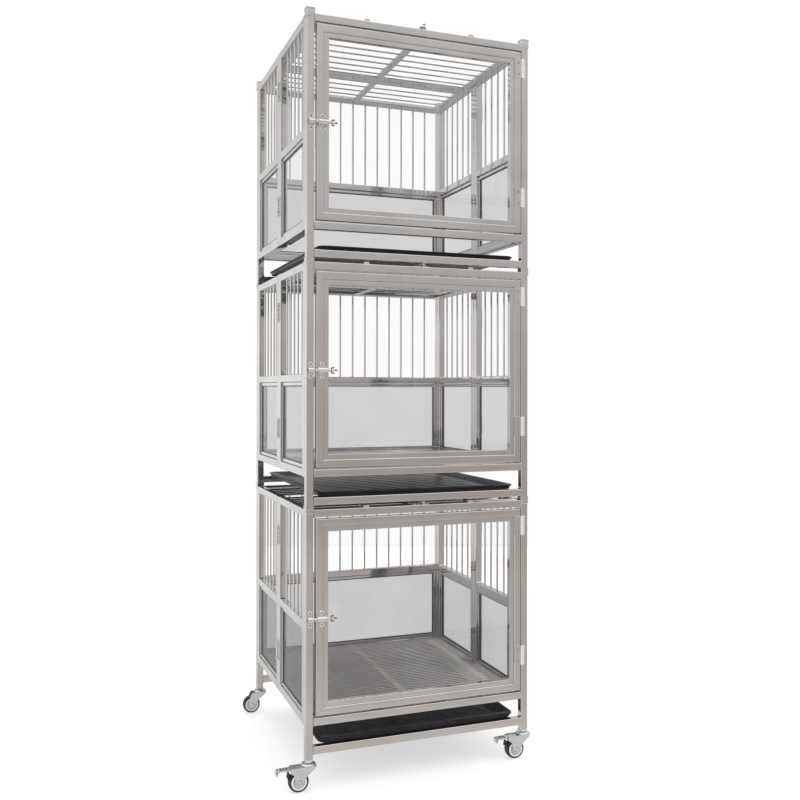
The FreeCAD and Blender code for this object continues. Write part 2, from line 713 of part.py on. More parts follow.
def fork(cx, cy, braked):
    """Swivel head, two tapering cheeks and the axle bolt; braked ones carry the pedal's pin."""
    low, high = HEAD_SPAN_Z
    solids = [rod_z(cx, cy, low, high, HEAD_RADIUS)]
    ahead, beneath, behind = CHEEK_LOW_Z
    rear = [(BRAKE_CHEEK_X, BRAKE_CHEEK_Z), (BRAKE_CHEEK_X, low)] if braked else [(CHEEK_TOP_X[0], low)]
    outline = rear + [
        (CHEEK_TOP_X[1], low),
        (-TRAIL + CHEEK_EAR, ahead),
        (-TRAIL, beneath),
        (-TRAIL - CHEEK_EAR, behind),
    ]
    for side in (-1, 1):
        y0 = cy + side * FORK_INSIDE
        points = [(cx + x, y0, z) for x, z in outline]
        solids.append(prism(points, Vector(0, side * FORK_PLATE, 0)))
    reach = FORK_INSIDE + FORK_PLATE
    axle_x = cx - TRAIL
    for side in (-1, 1):
        y0, y1 = sorted((cy + side * reach, cy + side * (reach + AXLE_HEAD_THICK)))
        solids.append(rod_y(axle_x, y0, y1, WHEEL_RADIUS, AXLE_HEAD_RADIUS))
    solids.append(rod_y(axle_x, cy - FORK_INSIDE, cy + FORK_INSIDE, WHEEL_RADIUS, AXLE_RADIUS))
    if braked:
        pin_x, pin_z = PEDAL_PIVOT
        solids.append(rod_y(cx + pin_x, cy - FORK_INSIDE, cy + FORK_INSIDE, pin_z, PIN_RADIUS))
    return solids


def hub(cx, cy):
    x = cx - TRAIL
    half = HUB_WIDTH / 2
    body = rod_y(x, cy - half, cy + half, WHEEL_RADIUS, HUB_RADIUS)
    bore_y = (cy - half - BORE_OVERRUN, cy + half + BORE_OVERRUN)
    bore = rod_y(x, *bore_y, WHEEL_RADIUS, AXLE_RADIUS + AXLE_CLEARANCE)
    return [body.cut(bore)]


def tyre(cx, cy):
    x = cx - TRAIL
    half = TYRE_WIDTH / 2
    body = rod_y(x, cy - half, cy + half, WHEEL_RADIUS, WHEEL_RADIUS)
    rims = [edge for edge in body.Edges if abs(edge.Length - 2 * math.pi * WHEEL_RADIUS) < 1e-3]
    body = body.makeFillet(TYRE_ROUND, rims)
    hole = rod_y(x, cy - half - BORE_OVERRUN, cy + half + BORE_OVERRUN, WHEEL_RADIUS, HUB_RADIUS)
    return [body.cut(hole)]


def pedal(cx, cy):
    """The foot lever with its turned-down end and the brake shoe, pivoted between the cheeks."""
    pin_x, pin_z = PEDAL_PIVOT
    low, high = PEDAL_SPAN_Z
    half = PEDAL_HALF_WIDTH
    lever = box(cx - PEDAL_REACH, cx + PEDAL_INNER_X, cy - half, cy + half, low, high)
    shoe_x0, shoe_x1 = SHOE_SPAN_X
    shoe = box(cx + shoe_x0, cx + shoe_x1, cy - half, cy + half, SHOE_BOTTOM_Z, low)
    lip = box(cx - PEDAL_REACH, cx - PEDAL_REACH + PEDAL_LIP, cy - half, cy + half, PEDAL_LIP_Z, low)
    bore_y = (cy - half - BORE_OVERRUN, cy + half + BORE_OVERRUN)
    bore = rod_y(cx + pin_x, *bore_y, pin_z, PIN_RADIUS + PIN_CLEARANCE)
    return [lever.multiFuse([shoe, lip]).cut(bore).removeSplitter()]


CASTERS = {
    "front_left": (STEM_INSET, STEM_INSET, True),
    "front_right": (WIDTH - STEM_INSET, STEM_INSET, True),
    "back_left": (STEM_INSET, DEPTH - STEM_INSET, False),
    "back_right": (WIDTH - STEM_INSET, DEPTH - STEM_INSET, False),
}


# ---- the whole cage ----
def export_tiers():
    parts = {
        "left_side_frames": side_frames(0, TUBE),
        "right_side_frames": side_frames(POST_RIGHT_X, POST_RIGHT_X - LEDGE_WIDTH),
        "side_and_back_glass": wall_glass(),
        "tray": tray(),
        "door_frame": door_frame(),
        "door_glass": door_glass(),
        "door_fittings": door_fittings(),
        "door_bolt": door_bolt(),
        "roof_bolt": roof_bolt(),
    }
    for tier, name in enumerate(TIER_NAMES):
        base = tier_base(tier)
        export(name + "_front_frame", front_frame(tier), base)
        export(name + "_back_frame", back_frame(tier), base)
        for part, solids in parts.items():
            export(name + "_" + part, solids, base)
        if name in FLOORED_TIERS:
            export(name + "_floor_grille", floor_grille(), base)
        if name == "upper":
            export("upper_roof_grille", rear_roof(), base)
            export("upper_roof_hatch", front_roof() + roof_hinge_leaves(True), base)
        else:
            export(name + "_roof_grille", front_roof() + rear_roof(), base)


def raised(solids, height):
    copies = []
    for solid in solids:
        copy = solid.copy()
        copy.translate(Vector(0, 0, height))
        copies.append(copy)
    return copies


def on_every_tier(solids):
    copies = []
    for tier in range(len(TIER_NAMES)):
        copies += raised(solids, tier_base(tier))
    return copies


def export_shared():
    """Identical fixed parts that share a node over the three tiers."""
    top_base = tier_base(len(TIER_NAMES) - 1)
    roof_leaves = raised(roof_hinge_leaves(False), top_base)
    export("fixed_hinge_leaves_and_pins", on_every_tier(fixed_hinge_parts()) + roof_leaves)
    export("door_latch_keepers", on_every_tier(latch_band(*KEEPER_SPAN)))
    export("roof_latch_housings", on_every_tier(roof_latch_housing()))
    export("stacking_collars", on_every_tier(collars()) + raised(top_caps(), top_base))
    export("side_fold_hinges", on_every_tier(side_fold_hinges()))


def export_casters():
    stems = []
    for name, (cx, cy, braked) in CASTERS.items():
        stems += stem(cx, cy)
        export(name + "_caster_fork", fork(cx, cy, braked))
        export(name + "_caster_hub", hub(cx, cy))
        export(name + "_caster_tyre", tyre(cx, cy))
        if braked:
            export(name + "_brake_pedal", pedal(cx, cy))
    export("caster_stems", stems)


os.makedirs("parts", exist_ok=True)
export_tiers()
export_shared()
export_casters()
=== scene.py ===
import bpy
import math
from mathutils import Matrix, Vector


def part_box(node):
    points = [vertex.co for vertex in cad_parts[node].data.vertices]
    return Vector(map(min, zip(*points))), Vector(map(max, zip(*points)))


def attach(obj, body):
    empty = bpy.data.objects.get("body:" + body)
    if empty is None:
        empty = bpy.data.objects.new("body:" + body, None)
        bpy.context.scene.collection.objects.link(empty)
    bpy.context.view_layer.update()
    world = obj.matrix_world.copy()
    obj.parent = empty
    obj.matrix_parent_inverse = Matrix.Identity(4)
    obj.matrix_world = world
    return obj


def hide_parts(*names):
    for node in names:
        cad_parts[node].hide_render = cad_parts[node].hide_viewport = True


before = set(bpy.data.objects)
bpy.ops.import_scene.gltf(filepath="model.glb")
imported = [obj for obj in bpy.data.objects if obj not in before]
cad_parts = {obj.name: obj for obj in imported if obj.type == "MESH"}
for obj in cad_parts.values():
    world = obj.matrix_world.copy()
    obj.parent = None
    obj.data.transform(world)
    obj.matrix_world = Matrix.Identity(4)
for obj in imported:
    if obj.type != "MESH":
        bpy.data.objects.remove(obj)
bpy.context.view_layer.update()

# Pieces are drawn in cage millimetres: X right, Y back, from the outer front left corner of the
# posts; Z is up from the floor, or from the underside of a tier's tray rails once lifted there.
MM = 0.001
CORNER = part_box("lower_front_frame")[0]
TIERS = ("lower", "middle", "upper")

# ---- sizes of the cage, in millimetres ----
WIDTH = 600.0
DEPTH = 590.0
TUBE = 19.0
TUBE_ROUND = 2.2
RIGHT = WIDTH - TUBE
BACK = DEPTH - TUBE
FOLD = DEPTH / 2
BOTTOM_RAIL = 68.0
MID_RAIL = 299.0
TOP_RAIL = 571.0
POST_TOP = TOP_RAIL + TUBE
CAP_TOP = 602.0
SLEEVE = 1.5
SLEEVE_DOWN = 9.0
SKIRT_TOP = 599.7
CAP_STEP = 598.6
WELD = 1.3
ROD = 2.75
BACK_BARS = 13
SIDE_BARS = 5
BEAD = 10.0
BEAD_THICK = 9.0
BEAD_SEAM = 0.7
GLASS = 4.0
GASKET = 1.5
GASKET_THICK = 6.0

DOOR_LEFT = 25.0
DOOR_RIGHT = 580.0
DOOR_LOW = 91.0
DOOR_HIGH = 567.0
DOOR_BEAD = 12.5
DOOR_BEAD_INSET = 2.2
HINGE_HEIGHTS = (159.0, 499.0)
HINGE_LENGTH = 50.0
HINGE_X = 582.0
HINGE_Y = -3.2
KNUCKLE = 3.0
LEAF = 1.5
LEAF_REACH = 17.0
FOLD_HINGES = (149.0, 461.0)
FOLD_HINGE_LENGTH = HINGE_LENGTH + 3

LATCH_Z = 326.5
LATCH_TALL = 41.0
LATCH_BAND = 14.0
LATCH_OUT = 6.5
LATCH_BOLT = 4.0
KEEPER = (3.0, 18.0)
HOUSING = (27.0, 51.0)
BOLT_TIP = 19.3
RING = (59.0, 68.0)
RING_HALF = 8.5
KNOB_END = 75.0

ROOF_FLAT = 7.0
ROOF_STRIP = (291.0, 310.0)
ROOF_LATCH_X = 301.5
ROOF_LATCH_WIDE = 44.0
ROOF_LATCH_UP = 3.8
ROOF_BOLT = 2.0
ROOF_BAND = 20.0
ROOF_BAND_TOP = 7.2
ROOF_KNOB_Y = -8.0
ROOF_PADS = (148.0, 430.0)
ROOF_PAD_FRONT = 3.0
ROOF_PAD_TALL = 4.5
ROOF_PAD_WIDE = 12.0
ROOF_PAD_SCREW_Y = 30.0
ROOF_HINGES = (95.0, 455.0)
ROOF_ROD_FIRST = 78.0
ROOF_ROD_PITCH = 40.5
ROOF_SPLIT = 353.0

FLOOR_TOP = BOTTOM_RAIL + TUBE
FLOOR_BAR = 16.0
FLOOR_BAR_TALL = 10.0
FLOOR_ROD = 2.0
FLOOR_PITCH = 13.0
LEDGE_WIDE = 10.0
LEDGE_THICK = 3.0

TRAY_X = (33.0, 567.0)
TRAY_Y = (8.0, 580.0)
TRAY_Z = 19.3
TRAY_CORNER = 25.0
TRAY_RIB_INSET = 60.0
TRAY_RIB = 0.7
TRAY_RIB_SLANT = 0.45

WHEEL = 25.0
TRAIL = 25.0
STEM = TUBE / 2
FORK_INSIDE = 11.5
CHEEK = 2.0
HEEL_PIN = 1.5
TOE_PIN = 2.6


# ---- meshes ----
def section(u0, u1, v0, v1, radius, steps):
    """Outline of a rounded rectangle, counter-clockwise."""
    if radius <= 0:
        return [(u0, v0), (u1, v0), (u1, v1), (u0, v1)]
    outline = []
    corners = [(u1 - radius, v0 + radius, -90), (u1 - radius, v1 - radius, 0),
               (u0 + radius, v1 - radius, 90), (u0 + radius, v0 + radius, 180)]
    for cu, cv, start in corners:
        for k in range(steps + 1):
            angle = math.radians(start + 90 * k / steps)
            outline.append((cu + radius * math.cos(angle), cv + radius * math.sin(angle)))
    return outline


def circle(cu, cv, radius, segments):
    turn = 2 * math.pi / segments
    return [(cu + radius * math.cos(k * turn), cv + radius * math.sin(k * turn)) for k in range(segments)]


def spread(start, end, count):
    step = (end - start) / (count + 1)
    return [start + step * (k + 1) for k in range(count)]


AXES = {"x": (0, 1, 2), "y": (1, 2, 0), "z": (2, 0, 1)}


class Shell:
    """Points and faces of one piece. Along an axis, a runs lengthwise and (u, v) across."""

    def __init__(self, lift=0.0):
        self.lift = lift
        self.points = []
        self.faces = []
        self.finishes = []

    def point(self, axis, a, u, v):
        placed = [0.0, 0.0, 0.0]
        for index, value in zip(AXES[axis], (a, u, v)):
            placed[index] = value
        return tuple(placed)

    def rings(self, rings, finish=0, caps=True, closed=False):
        start, count = len(self.points), len(rings[0])
        for ring in rings:
            self.points.extend(ring)
        before = len(self.faces)
        for k in range(len(rings) if closed else len(rings) - 1):
            near, far = start + k * count, start + (k + 1) % len(rings) * count
            for i in range(count):
                n = (i + 1) % count
                self.faces.append((near + i, near + n, far + n, far + i))
        if caps and not closed:
            last = start + (len(rings) - 1) * count
            self.faces.append(tuple(reversed(range(start, start + count))))
            self.faces.append(tuple(range(last, last + count)))
        self.finishes += [finish] * (len(self.faces) - before)

    def bar(self, axis, low, high, radius=TUBE_ROUND, steps=3, chamfer=0.0, weld=None, depth=None, finish=0):
        """A rounded bar between two corners, with weld skirts or mitred by depth(u, v) at its ends."""
        a, u, v = AXES[axis]
        outline = section(low[u], high[u], low[v], high[v], radius, steps)
        middle_u, middle_v = (low[u] + high[u]) / 2, (low[v] + high[v]) / 2

        def ring(at, grow_u=0.0, grow_v=0.0, mitre=0):
            placed = []
            for pu, pv in outline:
                run = at + (mitre * depth(pu, pv) if depth else 0.0)
                gu = pu + math.copysign(grow_u, pu - middle_u)
                gv = pv + math.copysign(grow_v, pv - middle_v)
                placed.append(self.point(axis, run, gu, gv))
            return placed

        start, end = low[a], high[a]
        if weld:
            rings = [ring(start, *weld), ring(start + WELD * 0.45, weld[0] * 0.4, weld[1] * 0.4),
                     ring(start + WELD * 1.2), ring(end - WELD * 1.2),
                     ring(end - WELD * 0.45, weld[0] * 0.4, weld[1] * 0.4), ring(end, *weld)]
        elif chamfer:
            rings = [ring(start, -chamfer, -chamfer), ring(start + chamfer),
                     ring(end - chamfer), ring(end, -chamfer, -chamfer)]
        else:
            rings = [ring(start, mitre=1), ring(end, mitre=-1)]
        self.rings(rings, finish)

    def lathe(self, axis, cu, cv, profile, segments=32, finish=0, closed=False):
        """A turned shape: profile lists (distance along the axis, radius)."""
        rings = []
        for a, radius in profile:
            rings.append([self.point(axis, a, u, v) for u, v in circle(cu, cv, max(radius, 0.02), segments)])
        self.rings(rings, finish, closed=closed)

    def rod(self, axis, cu, cv, a0, a1, radius, collar=0.0, segments=14, finish=0):
        """A round rod; a collar is the small weld fillet at each end."""
        if collar:
            profile = [(a0, radius + collar), (a0 + collar * 0.35, radius + collar * 0.45),
                       (a0 + collar * 1.3, radius), (a1 - collar * 1.3, radius),
                       (a1 - collar * 0.35, radius + collar * 0.45), (a1, radius + collar)]
        else:
            soft = radius * 0.25
            profile = [(a0, radius - soft), (a0 + soft, radius), (a1 - soft, radius), (a1, radius - soft)]
        self.lathe(axis, cu, cv, profile, segments, finish)

    def plate(self, axis, outline, a0, a1, chamfer=0.3, finish=0):
        """A flat plate of any outline with softened edges."""
        cu = sum(u for u, _ in outline) / len(outline)
        cv = sum(v for _, v in outline) / len(outline)
        reach = max(math.hypot(u - cu, v - cv) for u, v in outline)
        shrink = 1 - chamfer / reach
        inner = [(cu + (u - cu) * shrink, cv + (v - cv) * shrink) for u, v in outline]
        stations = [(a0, inner), (a0 + chamfer, outline), (a1 - chamfer, outline), (a1, inner)]
        self.rings([[self.point(axis, a, u, v) for u, v in line] for a, line in stations], finish)

    def sweep(self, path, radius, normal, closed=False, segments=10, finish=0):
        """A round wire along a flat path whose plane has that normal."""
        normal = Vector(normal)
        rings = []
        count = len(path)
        for k, at in enumerate(path):
            before = path[(k - 1) % count] if closed or k > 0 else at
            after = path[(k + 1) % count] if closed or k < count - 1 else at
            along = (Vector(after) - Vector(before)).normalized()
            side = normal.cross(along)
            ring = []
            for j in range(segments):
                angle = 2 * math.pi * j / segments
                level = side * radius * math.cos(angle)
                raised = normal * radius * math.sin(angle)
                ring.append(tuple(Vector(at) + level + raised))
            rings.append(ring)
        self.rings(rings, finish, caps=not closed, closed=closed)


def make(name, shell, body, finishes, replaced=(), crease=32):
    """Turn a shell into an object that rides on a body and takes the place of its CAD nodes."""
    mesh = bpy.data.meshes.new(name)
    placed = []
    for x, y, z in shell.points:
        placed.append((CORNER.x + x * MM, CORNER.y + y * MM, (z + shell.lift) * MM))
    mesh.from_pydata(placed, [], shell.faces)
    for finish in finishes:
        mesh.materials.append(finish)
    mesh.polygons.foreach_set("material_index", shell.finishes)
    mesh.shade_smooth()
    mesh.set_sharp_from_angle(angle=math.radians(crease))
    piece = bpy.data.objects.new(name, mesh)
    bpy.context.scene.collection.objects.link(piece)
    flatten = piece.modifiers.new("flatten", "WEIGHTED_NORMAL")
    flatten.mode = "FACE_AREA"
    flatten.weight = 100
    flatten.keep_sharp = True
    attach(piece, body)
    if replaced:
        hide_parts(*replaced)
    return piece


# ---- materials ----
def material(name):
    made = bpy.data.materials.new(name)
    made.use_nodes = True
    return made, made.node_tree.nodes, made.node_tree.links, made.node_tree.nodes["Principled BSDF"]


def noise(nodes, links, scale, stretch=(1, 1, 1), detail=4.0, roughness=0.5):
    """Noise in the frame's own coordinates, stretched along an axis by a small scale."""
    place = nodes.new("ShaderNodeTexCoord")
    mapping = nodes.new("ShaderNodeMapping")
    mapping.inputs["Scale"].default_value = stretch
    links.new(place.outputs["Object"], mapping.inputs["Vector"])
    texture = nodes.new("ShaderNodeTexNoise")
    texture.inputs["Scale"].default_value = scale
    texture.inputs["Detail"].default_value = detail
    texture.inputs["Roughness"].default_value = roughness
    links.new(mapping.outputs["Vector"], texture.inputs["Vector"])
    return texture.outputs["Fac"]


def ramp(nodes, links, value, low, high, start=0.35, end=0.65):
    """Colours between low and high as a noise goes from start to end."""
    node = nodes.new("ShaderNodeValToRGB")
    node.color_ramp.elements[0].position = start
    node.color_ramp.elements[1].position = end
    node.color_ramp.elements[0].color = (*low, 1)
    node.color_ramp.elements[1].color = (*high, 1)
    links.new(value, node.inputs["Fac"])
    return node.outputs["Color"]


def spans(nodes, links, value, low, high):
    node = nodes.new("ShaderNodeMapRange")
    node.inputs["From Min"].default_value = 0.3
    node.inputs["From Max"].default_value = 0.7
    node.inputs["To Min"].default_value = low
    node.inputs["To Max"].default_value = high
    links.new(value, node.inputs["Value"])
    return node.outputs["Result"]


def bump(nodes, links, shader, height, strength, distance):
    node = nodes.new("ShaderNodeBump")
    node.inputs["Strength"].default_value = strength
    node.inputs["Distance"].default_value = distance
    links.new(height, node.inputs["Height"])
    links.new(node.outputs["Normal"], shader.inputs["Normal"])


def steel(name, low, high, rough, stretch, grain=420.0, metallic=1.0):
    """Polished stainless steel: drawn lines along the tube, faint clouding and handling marks."""
    made, nodes, links, shader = material(name)
    shader.inputs["Metallic"].default_value = metallic
    clouds = noise(nodes, links, 7.0, (1, 1, 1), 3.0)
    links.new(ramp(nodes, links, clouds, low, high), shader.inputs["Base Color"])
    lines = noise(nodes, links, grain, stretch, 5.0, 0.6)
    links.new(spans(nodes, links, lines, *rough), shader.inputs["Roughness"])
    bump(nodes, links, shader, lines, 0.06, 0.0004)
    return made


ALONG = {"x": (0.03, 1, 1), "y": (1, 0.03, 1), "z": (1, 1, 0.03)}


def tube_steel(axis):
    return steel("tube_steel_" + axis, (0.61, 0.60, 0.59), (0.68, 0.675, 0.67), (0.035, 0.07), ALONG[axis])


def glass_material(name, low, high):
    """Clear pane: see-through, toned between low and high, and mirror-like at a glancing angle from outside.
    The tones that differ from pane to pane are painted light and shade.
    """
    made, nodes, links, shader = material(name)
    nodes.remove(shader)
    clear = nodes.new("ShaderNodeBsdfTransparent")
    gloss = nodes.new("ShaderNodeBsdfGlossy")
    gloss.inputs["Roughness"].default_value = 0.03
    smears = noise(nodes, links, 5.0, (1, 1, 1), 3.0)
    tints = [(tone, tone, tone * 1.004) for tone in (low, high)]
    links.new(ramp(nodes, links, smears, *tints), clear.inputs["Color"])
    fresnel = nodes.new("ShaderNodeFresnel")
    fresnel.inputs["IOR"].default_value = 1.45
    faces = nodes.new("ShaderNodeNewGeometry")
    outside = nodes.new("ShaderNodeMath")
    outside.operation = "SUBTRACT"
    outside.inputs[0].default_value = 1.0
    links.new(faces.outputs["Backfacing"], outside.inputs[1])
    share = nodes.new("ShaderNodeMath")
    share.operation = "MULTIPLY"
    links.new(fresnel.outputs["Fac"], share.inputs[0])
    links.new(outside.outputs["Value"], share.inputs[1])
    mix = nodes.new("ShaderNodeMixShader")
    links.new(share.outputs["Value"], mix.inputs["Fac"])
    links.new(clear.outputs["BSDF"], mix.inputs[1])
    links.new(gloss.outputs["BSDF"], mix.inputs[2])
    links.new(mix.outputs["Shader"], nodes["Material Output"].inputs["Surface"])
    return made


def plastic(name, low, high, rough, grain, strength, coat=0.0):
    """Moulded plastic with a fine pebble and a slight change of tone."""
    made, nodes, links, shader = material(name)
    clouds = noise(nodes, links, 18.0, (1, 1, 1), 3.0)
    links.new(ramp(nodes, links, clouds, low, high), shader.inputs["Base Color"])
    pebble = noise(nodes, links, grain, (1, 1, 1), 2.0)
    links.new(spans(nodes, links, pebble, *rough), shader.inputs["Roughness"])
    shader.inputs["Coat Weight"].default_value = coat
    shader.inputs["Coat Roughness"].default_value = 0.2
    bump(nodes, links, shader, pebble, strength, 0.0003)
    return made


TUBE_X = tube_steel("x")
TUBE_Y = tube_steel("y")
TUBE_Z = tube_steel("z")
TUBES = [TUBE_X, TUBE_Y, TUBE_Z]
ROD_STEEL = steel("rod_steel", (0.58, 0.57, 0.56), (0.67, 0.66, 0.65), (0.12, 0.24), (1, 1, 1), 300.0)
FITTING = steel(
    "pressed_steel", (0.64, 0.635, 0.63), (0.73, 0.725, 0.72), (0.18, 0.30), (1, 1, 1), 260.0, 0.75)
# Dark steel: on the screw heads this darkness is painted shade of their recesses. The door bolt's pull loop
# and knob are in it too.
DARK_STEEL = steel("dark_steel_screw_shade", (0.16, 0.155, 0.15), (0.26, 0.255, 0.25), (0.2, 0.35), (1, 1, 1), 300.0)
ZINC = steel("zinc_plate", (0.62, 0.63, 0.64), (0.76, 0.77, 0.78), (0.14, 0.30), (1, 1, 1), 180.0, 0.75)
RUBBER = plastic("black_rubber", (0.012, 0.012, 0.012), (0.02, 0.02, 0.02), (0.45, 0.6), 400.0, 0.1)
SEAL = plastic("glazing_seal", (0.05, 0.05, 0.05), (0.08, 0.08, 0.08), (0.4, 0.55), 400.0, 0.1)
# One clear glass in several tones: lighter on the left, darker at the back and right, darkest on the lowest
# tier. These differences are painted light and shade.
BACK_PANE_SHADED = glass_material("back_pane_painted_shade", 0.80, 0.82)
LEFT_PANE_LIT = glass_material("left_pane_painted_light", 0.95, 0.965)
RIGHT_PANE_SHADED = glass_material("right_pane_painted_shade", 0.82, 0.84)
LOW_PANE_SHADED = glass_material("lowest_pane_painted_shade", 0.70, 0.73)
DOOR_PANE = glass_material("door_pane", 0.985, 0.992)
TRAY = plastic("black_tray", (0.020, 0.020, 0.023), (0.030, 0.030, 0.034), (0.20, 0.32), 700.0, 0.06)
TRAY.node_tree.nodes["Principled BSDF"].inputs["Specular IOR Level"].default_value = 0.08
TYRE = plastic("tyre_rubber", (0.018, 0.018, 0.018), (0.035, 0.035, 0.035), (0.5, 0.7), 500.0, 0.2)
HUB = plastic("hub_plastic", (0.52, 0.52, 0.52), (0.62, 0.62, 0.62), (0.38, 0.5), 500.0, 0.1)
PALE = plastic("hub_rim", (0.80, 0.80, 0.80), (0.88, 0.88, 0.88), (0.3, 0.45), 500.0, 0.1)
# Near-white, half-diffuse steel on the door hinge knuckles, the post hinge leaves and the screw washers: a
# painted highlight.
HIGHLIGHT_STEEL = steel("steel_painted_highlight", (0.88, 0.875, 0.87), (0.95, 0.945, 0.94), (0.12, 0.24), (1, 1, 1), 260.0, 0.45)
GRILLE = steel("grille_steel", (0.66, 0.645, 0.63), (0.73, 0.72, 0.705), (0.30, 0.42), (1, 1, 1), 300.0, 0.85)
METALS = TUBES + [FITTING, DARK_STEEL, HIGHLIGHT_STEEL]
GLAZED = TUBES + [SEAL]


# ---- frames ----
def tier_lift(tier):
    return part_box(tier + "_left_side_frames")[0].z / MM - BOTTOM_RAIL


def rail_x(shell, y, z):
    shell.bar("x", (TUBE, y, z), (RIGHT, y + TUBE, z + TUBE), weld=(0, WELD), finish=0)


def rail_y(shell, x, y0, y1, z):
    shell.bar("y", (x, y0, z), (x + TUBE, y1, z + TUBE), weld=(WELD, 0), finish=1)


def post(shell, x, y, z0, z1):
    shell.bar("z", (x, y, z0), (x + TUBE, y + TUBE, z1), chamfer=0.4, finish=2)


def upright(shell, x, y, z0, z1):
    """A vertical rod welded between two rails."""
    shell.rod("z", x, y, z0, z1, ROD, collar=0.9, finish=2)


def bead_frame(shell, normal, low, high):
    """Four glazing strips round an opening, each a little clear of its tube, with a dark gasket."""
    width = 0 if normal == "y" else 1
    for z0, z1 in ((low[2], low[2] + BEAD), (high[2] - BEAD, high[2])):
        start, end = list(low), list(high)
        start[2], end[2] = z0 + BEAD_SEAM, z1 - BEAD_SEAM
        shell.bar("xy"[width], start, end, radius=1.2, steps=2, finish=width)
    for a0, a1 in ((low[width], low[width] + BEAD), (high[width] - BEAD, high[width])):
        start, end = list(low), list(high)
        start[width], end[width] = a0 + BEAD_SEAM, a1 - BEAD_SEAM
        start[2], end[2] = low[2] + BEAD, high[2] - BEAD
        shell.bar("z", start, end, radius=1.2, steps=2, finish=2)
    across = 1 - width
    inner_low, inner_high = list(low), list(high)
    for index in (width, 2):
        inner_low[index] += BEAD
        inner_high[index] -= BEAD
    inner_low[across] += (BEAD_THICK - GASKET_THICK) / 2
    inner_high[across] -= (BEAD_THICK - GASKET_THICK) / 2
    for index, axis in ((2, "xy"[width]), (width, "z")):
        for at in (inner_low[index], inner_high[index] - GASKET):
            start, end = list(inner_low), list(inner_high)
            start[index], end[index] = at, at + GASKET
            shell.bar(axis, start, end, radius=0.6, steps=2, finish=3)


def front_frame(tier):
    name = tier + "_front_frame"
    shell = Shell(tier_lift(tier))
    low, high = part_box(name)
    bottom = low.z / MM - shell.lift
    for x in (0, RIGHT):
        post(shell, x, 0, bottom, POST_TOP)
    for z in (0, BOTTOM_RAIL, TOP_RAIL):
        rail_x(shell, 0, z)
    make(name + "_tubes", shell, "cage_frame", TUBES, [name])


def back_frame(tier):
    name = tier + "_back_frame"
    shell = Shell(tier_lift(tier))
    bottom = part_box(name)[0].z / MM - shell.lift
    for x in (0, RIGHT):
        post(shell, x, BACK, bottom, POST_TOP)
    for z in (0, BOTTOM_RAIL, MID_RAIL, TOP_RAIL):
        rail_x(shell, BACK, z)
    middle = BACK + TUBE / 2
    for x in spread(TUBE, RIGHT, BACK_BARS):
        upright(shell, x, middle, MID_RAIL + TUBE, TOP_RAIL)
    near, far = middle - BEAD_THICK / 2, middle + BEAD_THICK / 2
    bead_frame(shell, "y", (TUBE, near, FLOOR_TOP), (RIGHT, far, MID_RAIL))
    make(name + "_tubes", shell, "cage_frame", GLAZED, [name])


def side_spans():
    return [(TUBE + 1, FOLD - 0.5), (FOLD + 0.5, BACK - 1)]


def side_frames(tier, side, x, ledge_x):
    name = tier + "_" + side + "_side_frames"
    shell = Shell(tier_lift(tier))
    middle = x + TUBE / 2
    for y0, y1 in side_spans():
        inner0, inner1 = y0 + TUBE, y1 - TUBE
        post(shell, x, y0, BOTTOM_RAIL, POST_TOP)
        post(shell, x, inner1, BOTTOM_RAIL, POST_TOP)
        for z in (BOTTOM_RAIL, MID_RAIL, TOP_RAIL):
            rail_y(shell, x, inner0, inner1, z)
        for y in spread(inner0, inner1, SIDE_BARS):
            upright(shell, middle, y, MID_RAIL + TUBE, TOP_RAIL)
        near, far = middle - BEAD_THICK / 2, middle + BEAD_THICK / 2
        bead_frame(shell, "x", (near, inner0, FLOOR_TOP), (far, inner1, MID_RAIL))
        ledge_top = FLOOR_TOP - 2 * FLOOR_ROD - FLOOR_BAR_TALL
        ledge_low = (ledge_x, inner0, ledge_top - LEDGE_THICK)
        ledge_high = (ledge_x + LEDGE_WIDE, inner1, ledge_top)
        shell.bar("y", ledge_low, ledge_high, 0.5, 1, 0.4, finish=1)
    make(name + "_tubes", shell, "cage_frame", GLAZED, [name])


def pane(shell, axis, low, high, finish=0):
    shell.bar(axis, low, high, radius=0.4, steps=1, chamfer=0.3, finish=finish)


def wall_glass(tier):
    name = tier + "_side_and_back_glass"
    shell = Shell(tier_lift(tier))
    low, high = FLOOR_TOP + BEAD - BEAD_SEAM, MID_RAIL - BEAD + BEAD_SEAM
    middle = BACK + TUBE / 2
    half = GLASS / 2
    reach = BEAD - BEAD_SEAM
    pane(shell, "x", (TUBE + reach, middle - half, low), (RIGHT - reach, middle + half, high))
    for finish, x in ((1, TUBE / 2), (2, WIDTH - TUBE / 2)):
        for y0, y1 in side_spans():
            near, far = y0 + TUBE + reach, y1 - TUBE - reach
            pane(shell, "y", (x - half, near, low), (x + half, far, high), finish)
    # Painted light and shade: the lowest tier's panes darker than the rest, and the left panes lighter than
    # the back and right.
    tints = [LOW_PANE_SHADED] * 3 if tier == "lower" else [BACK_PANE_SHADED, LEFT_PANE_LIT, RIGHT_PANE_SHADED]
    make(name + "_panes", shell, "cage_frame", tints, [name])


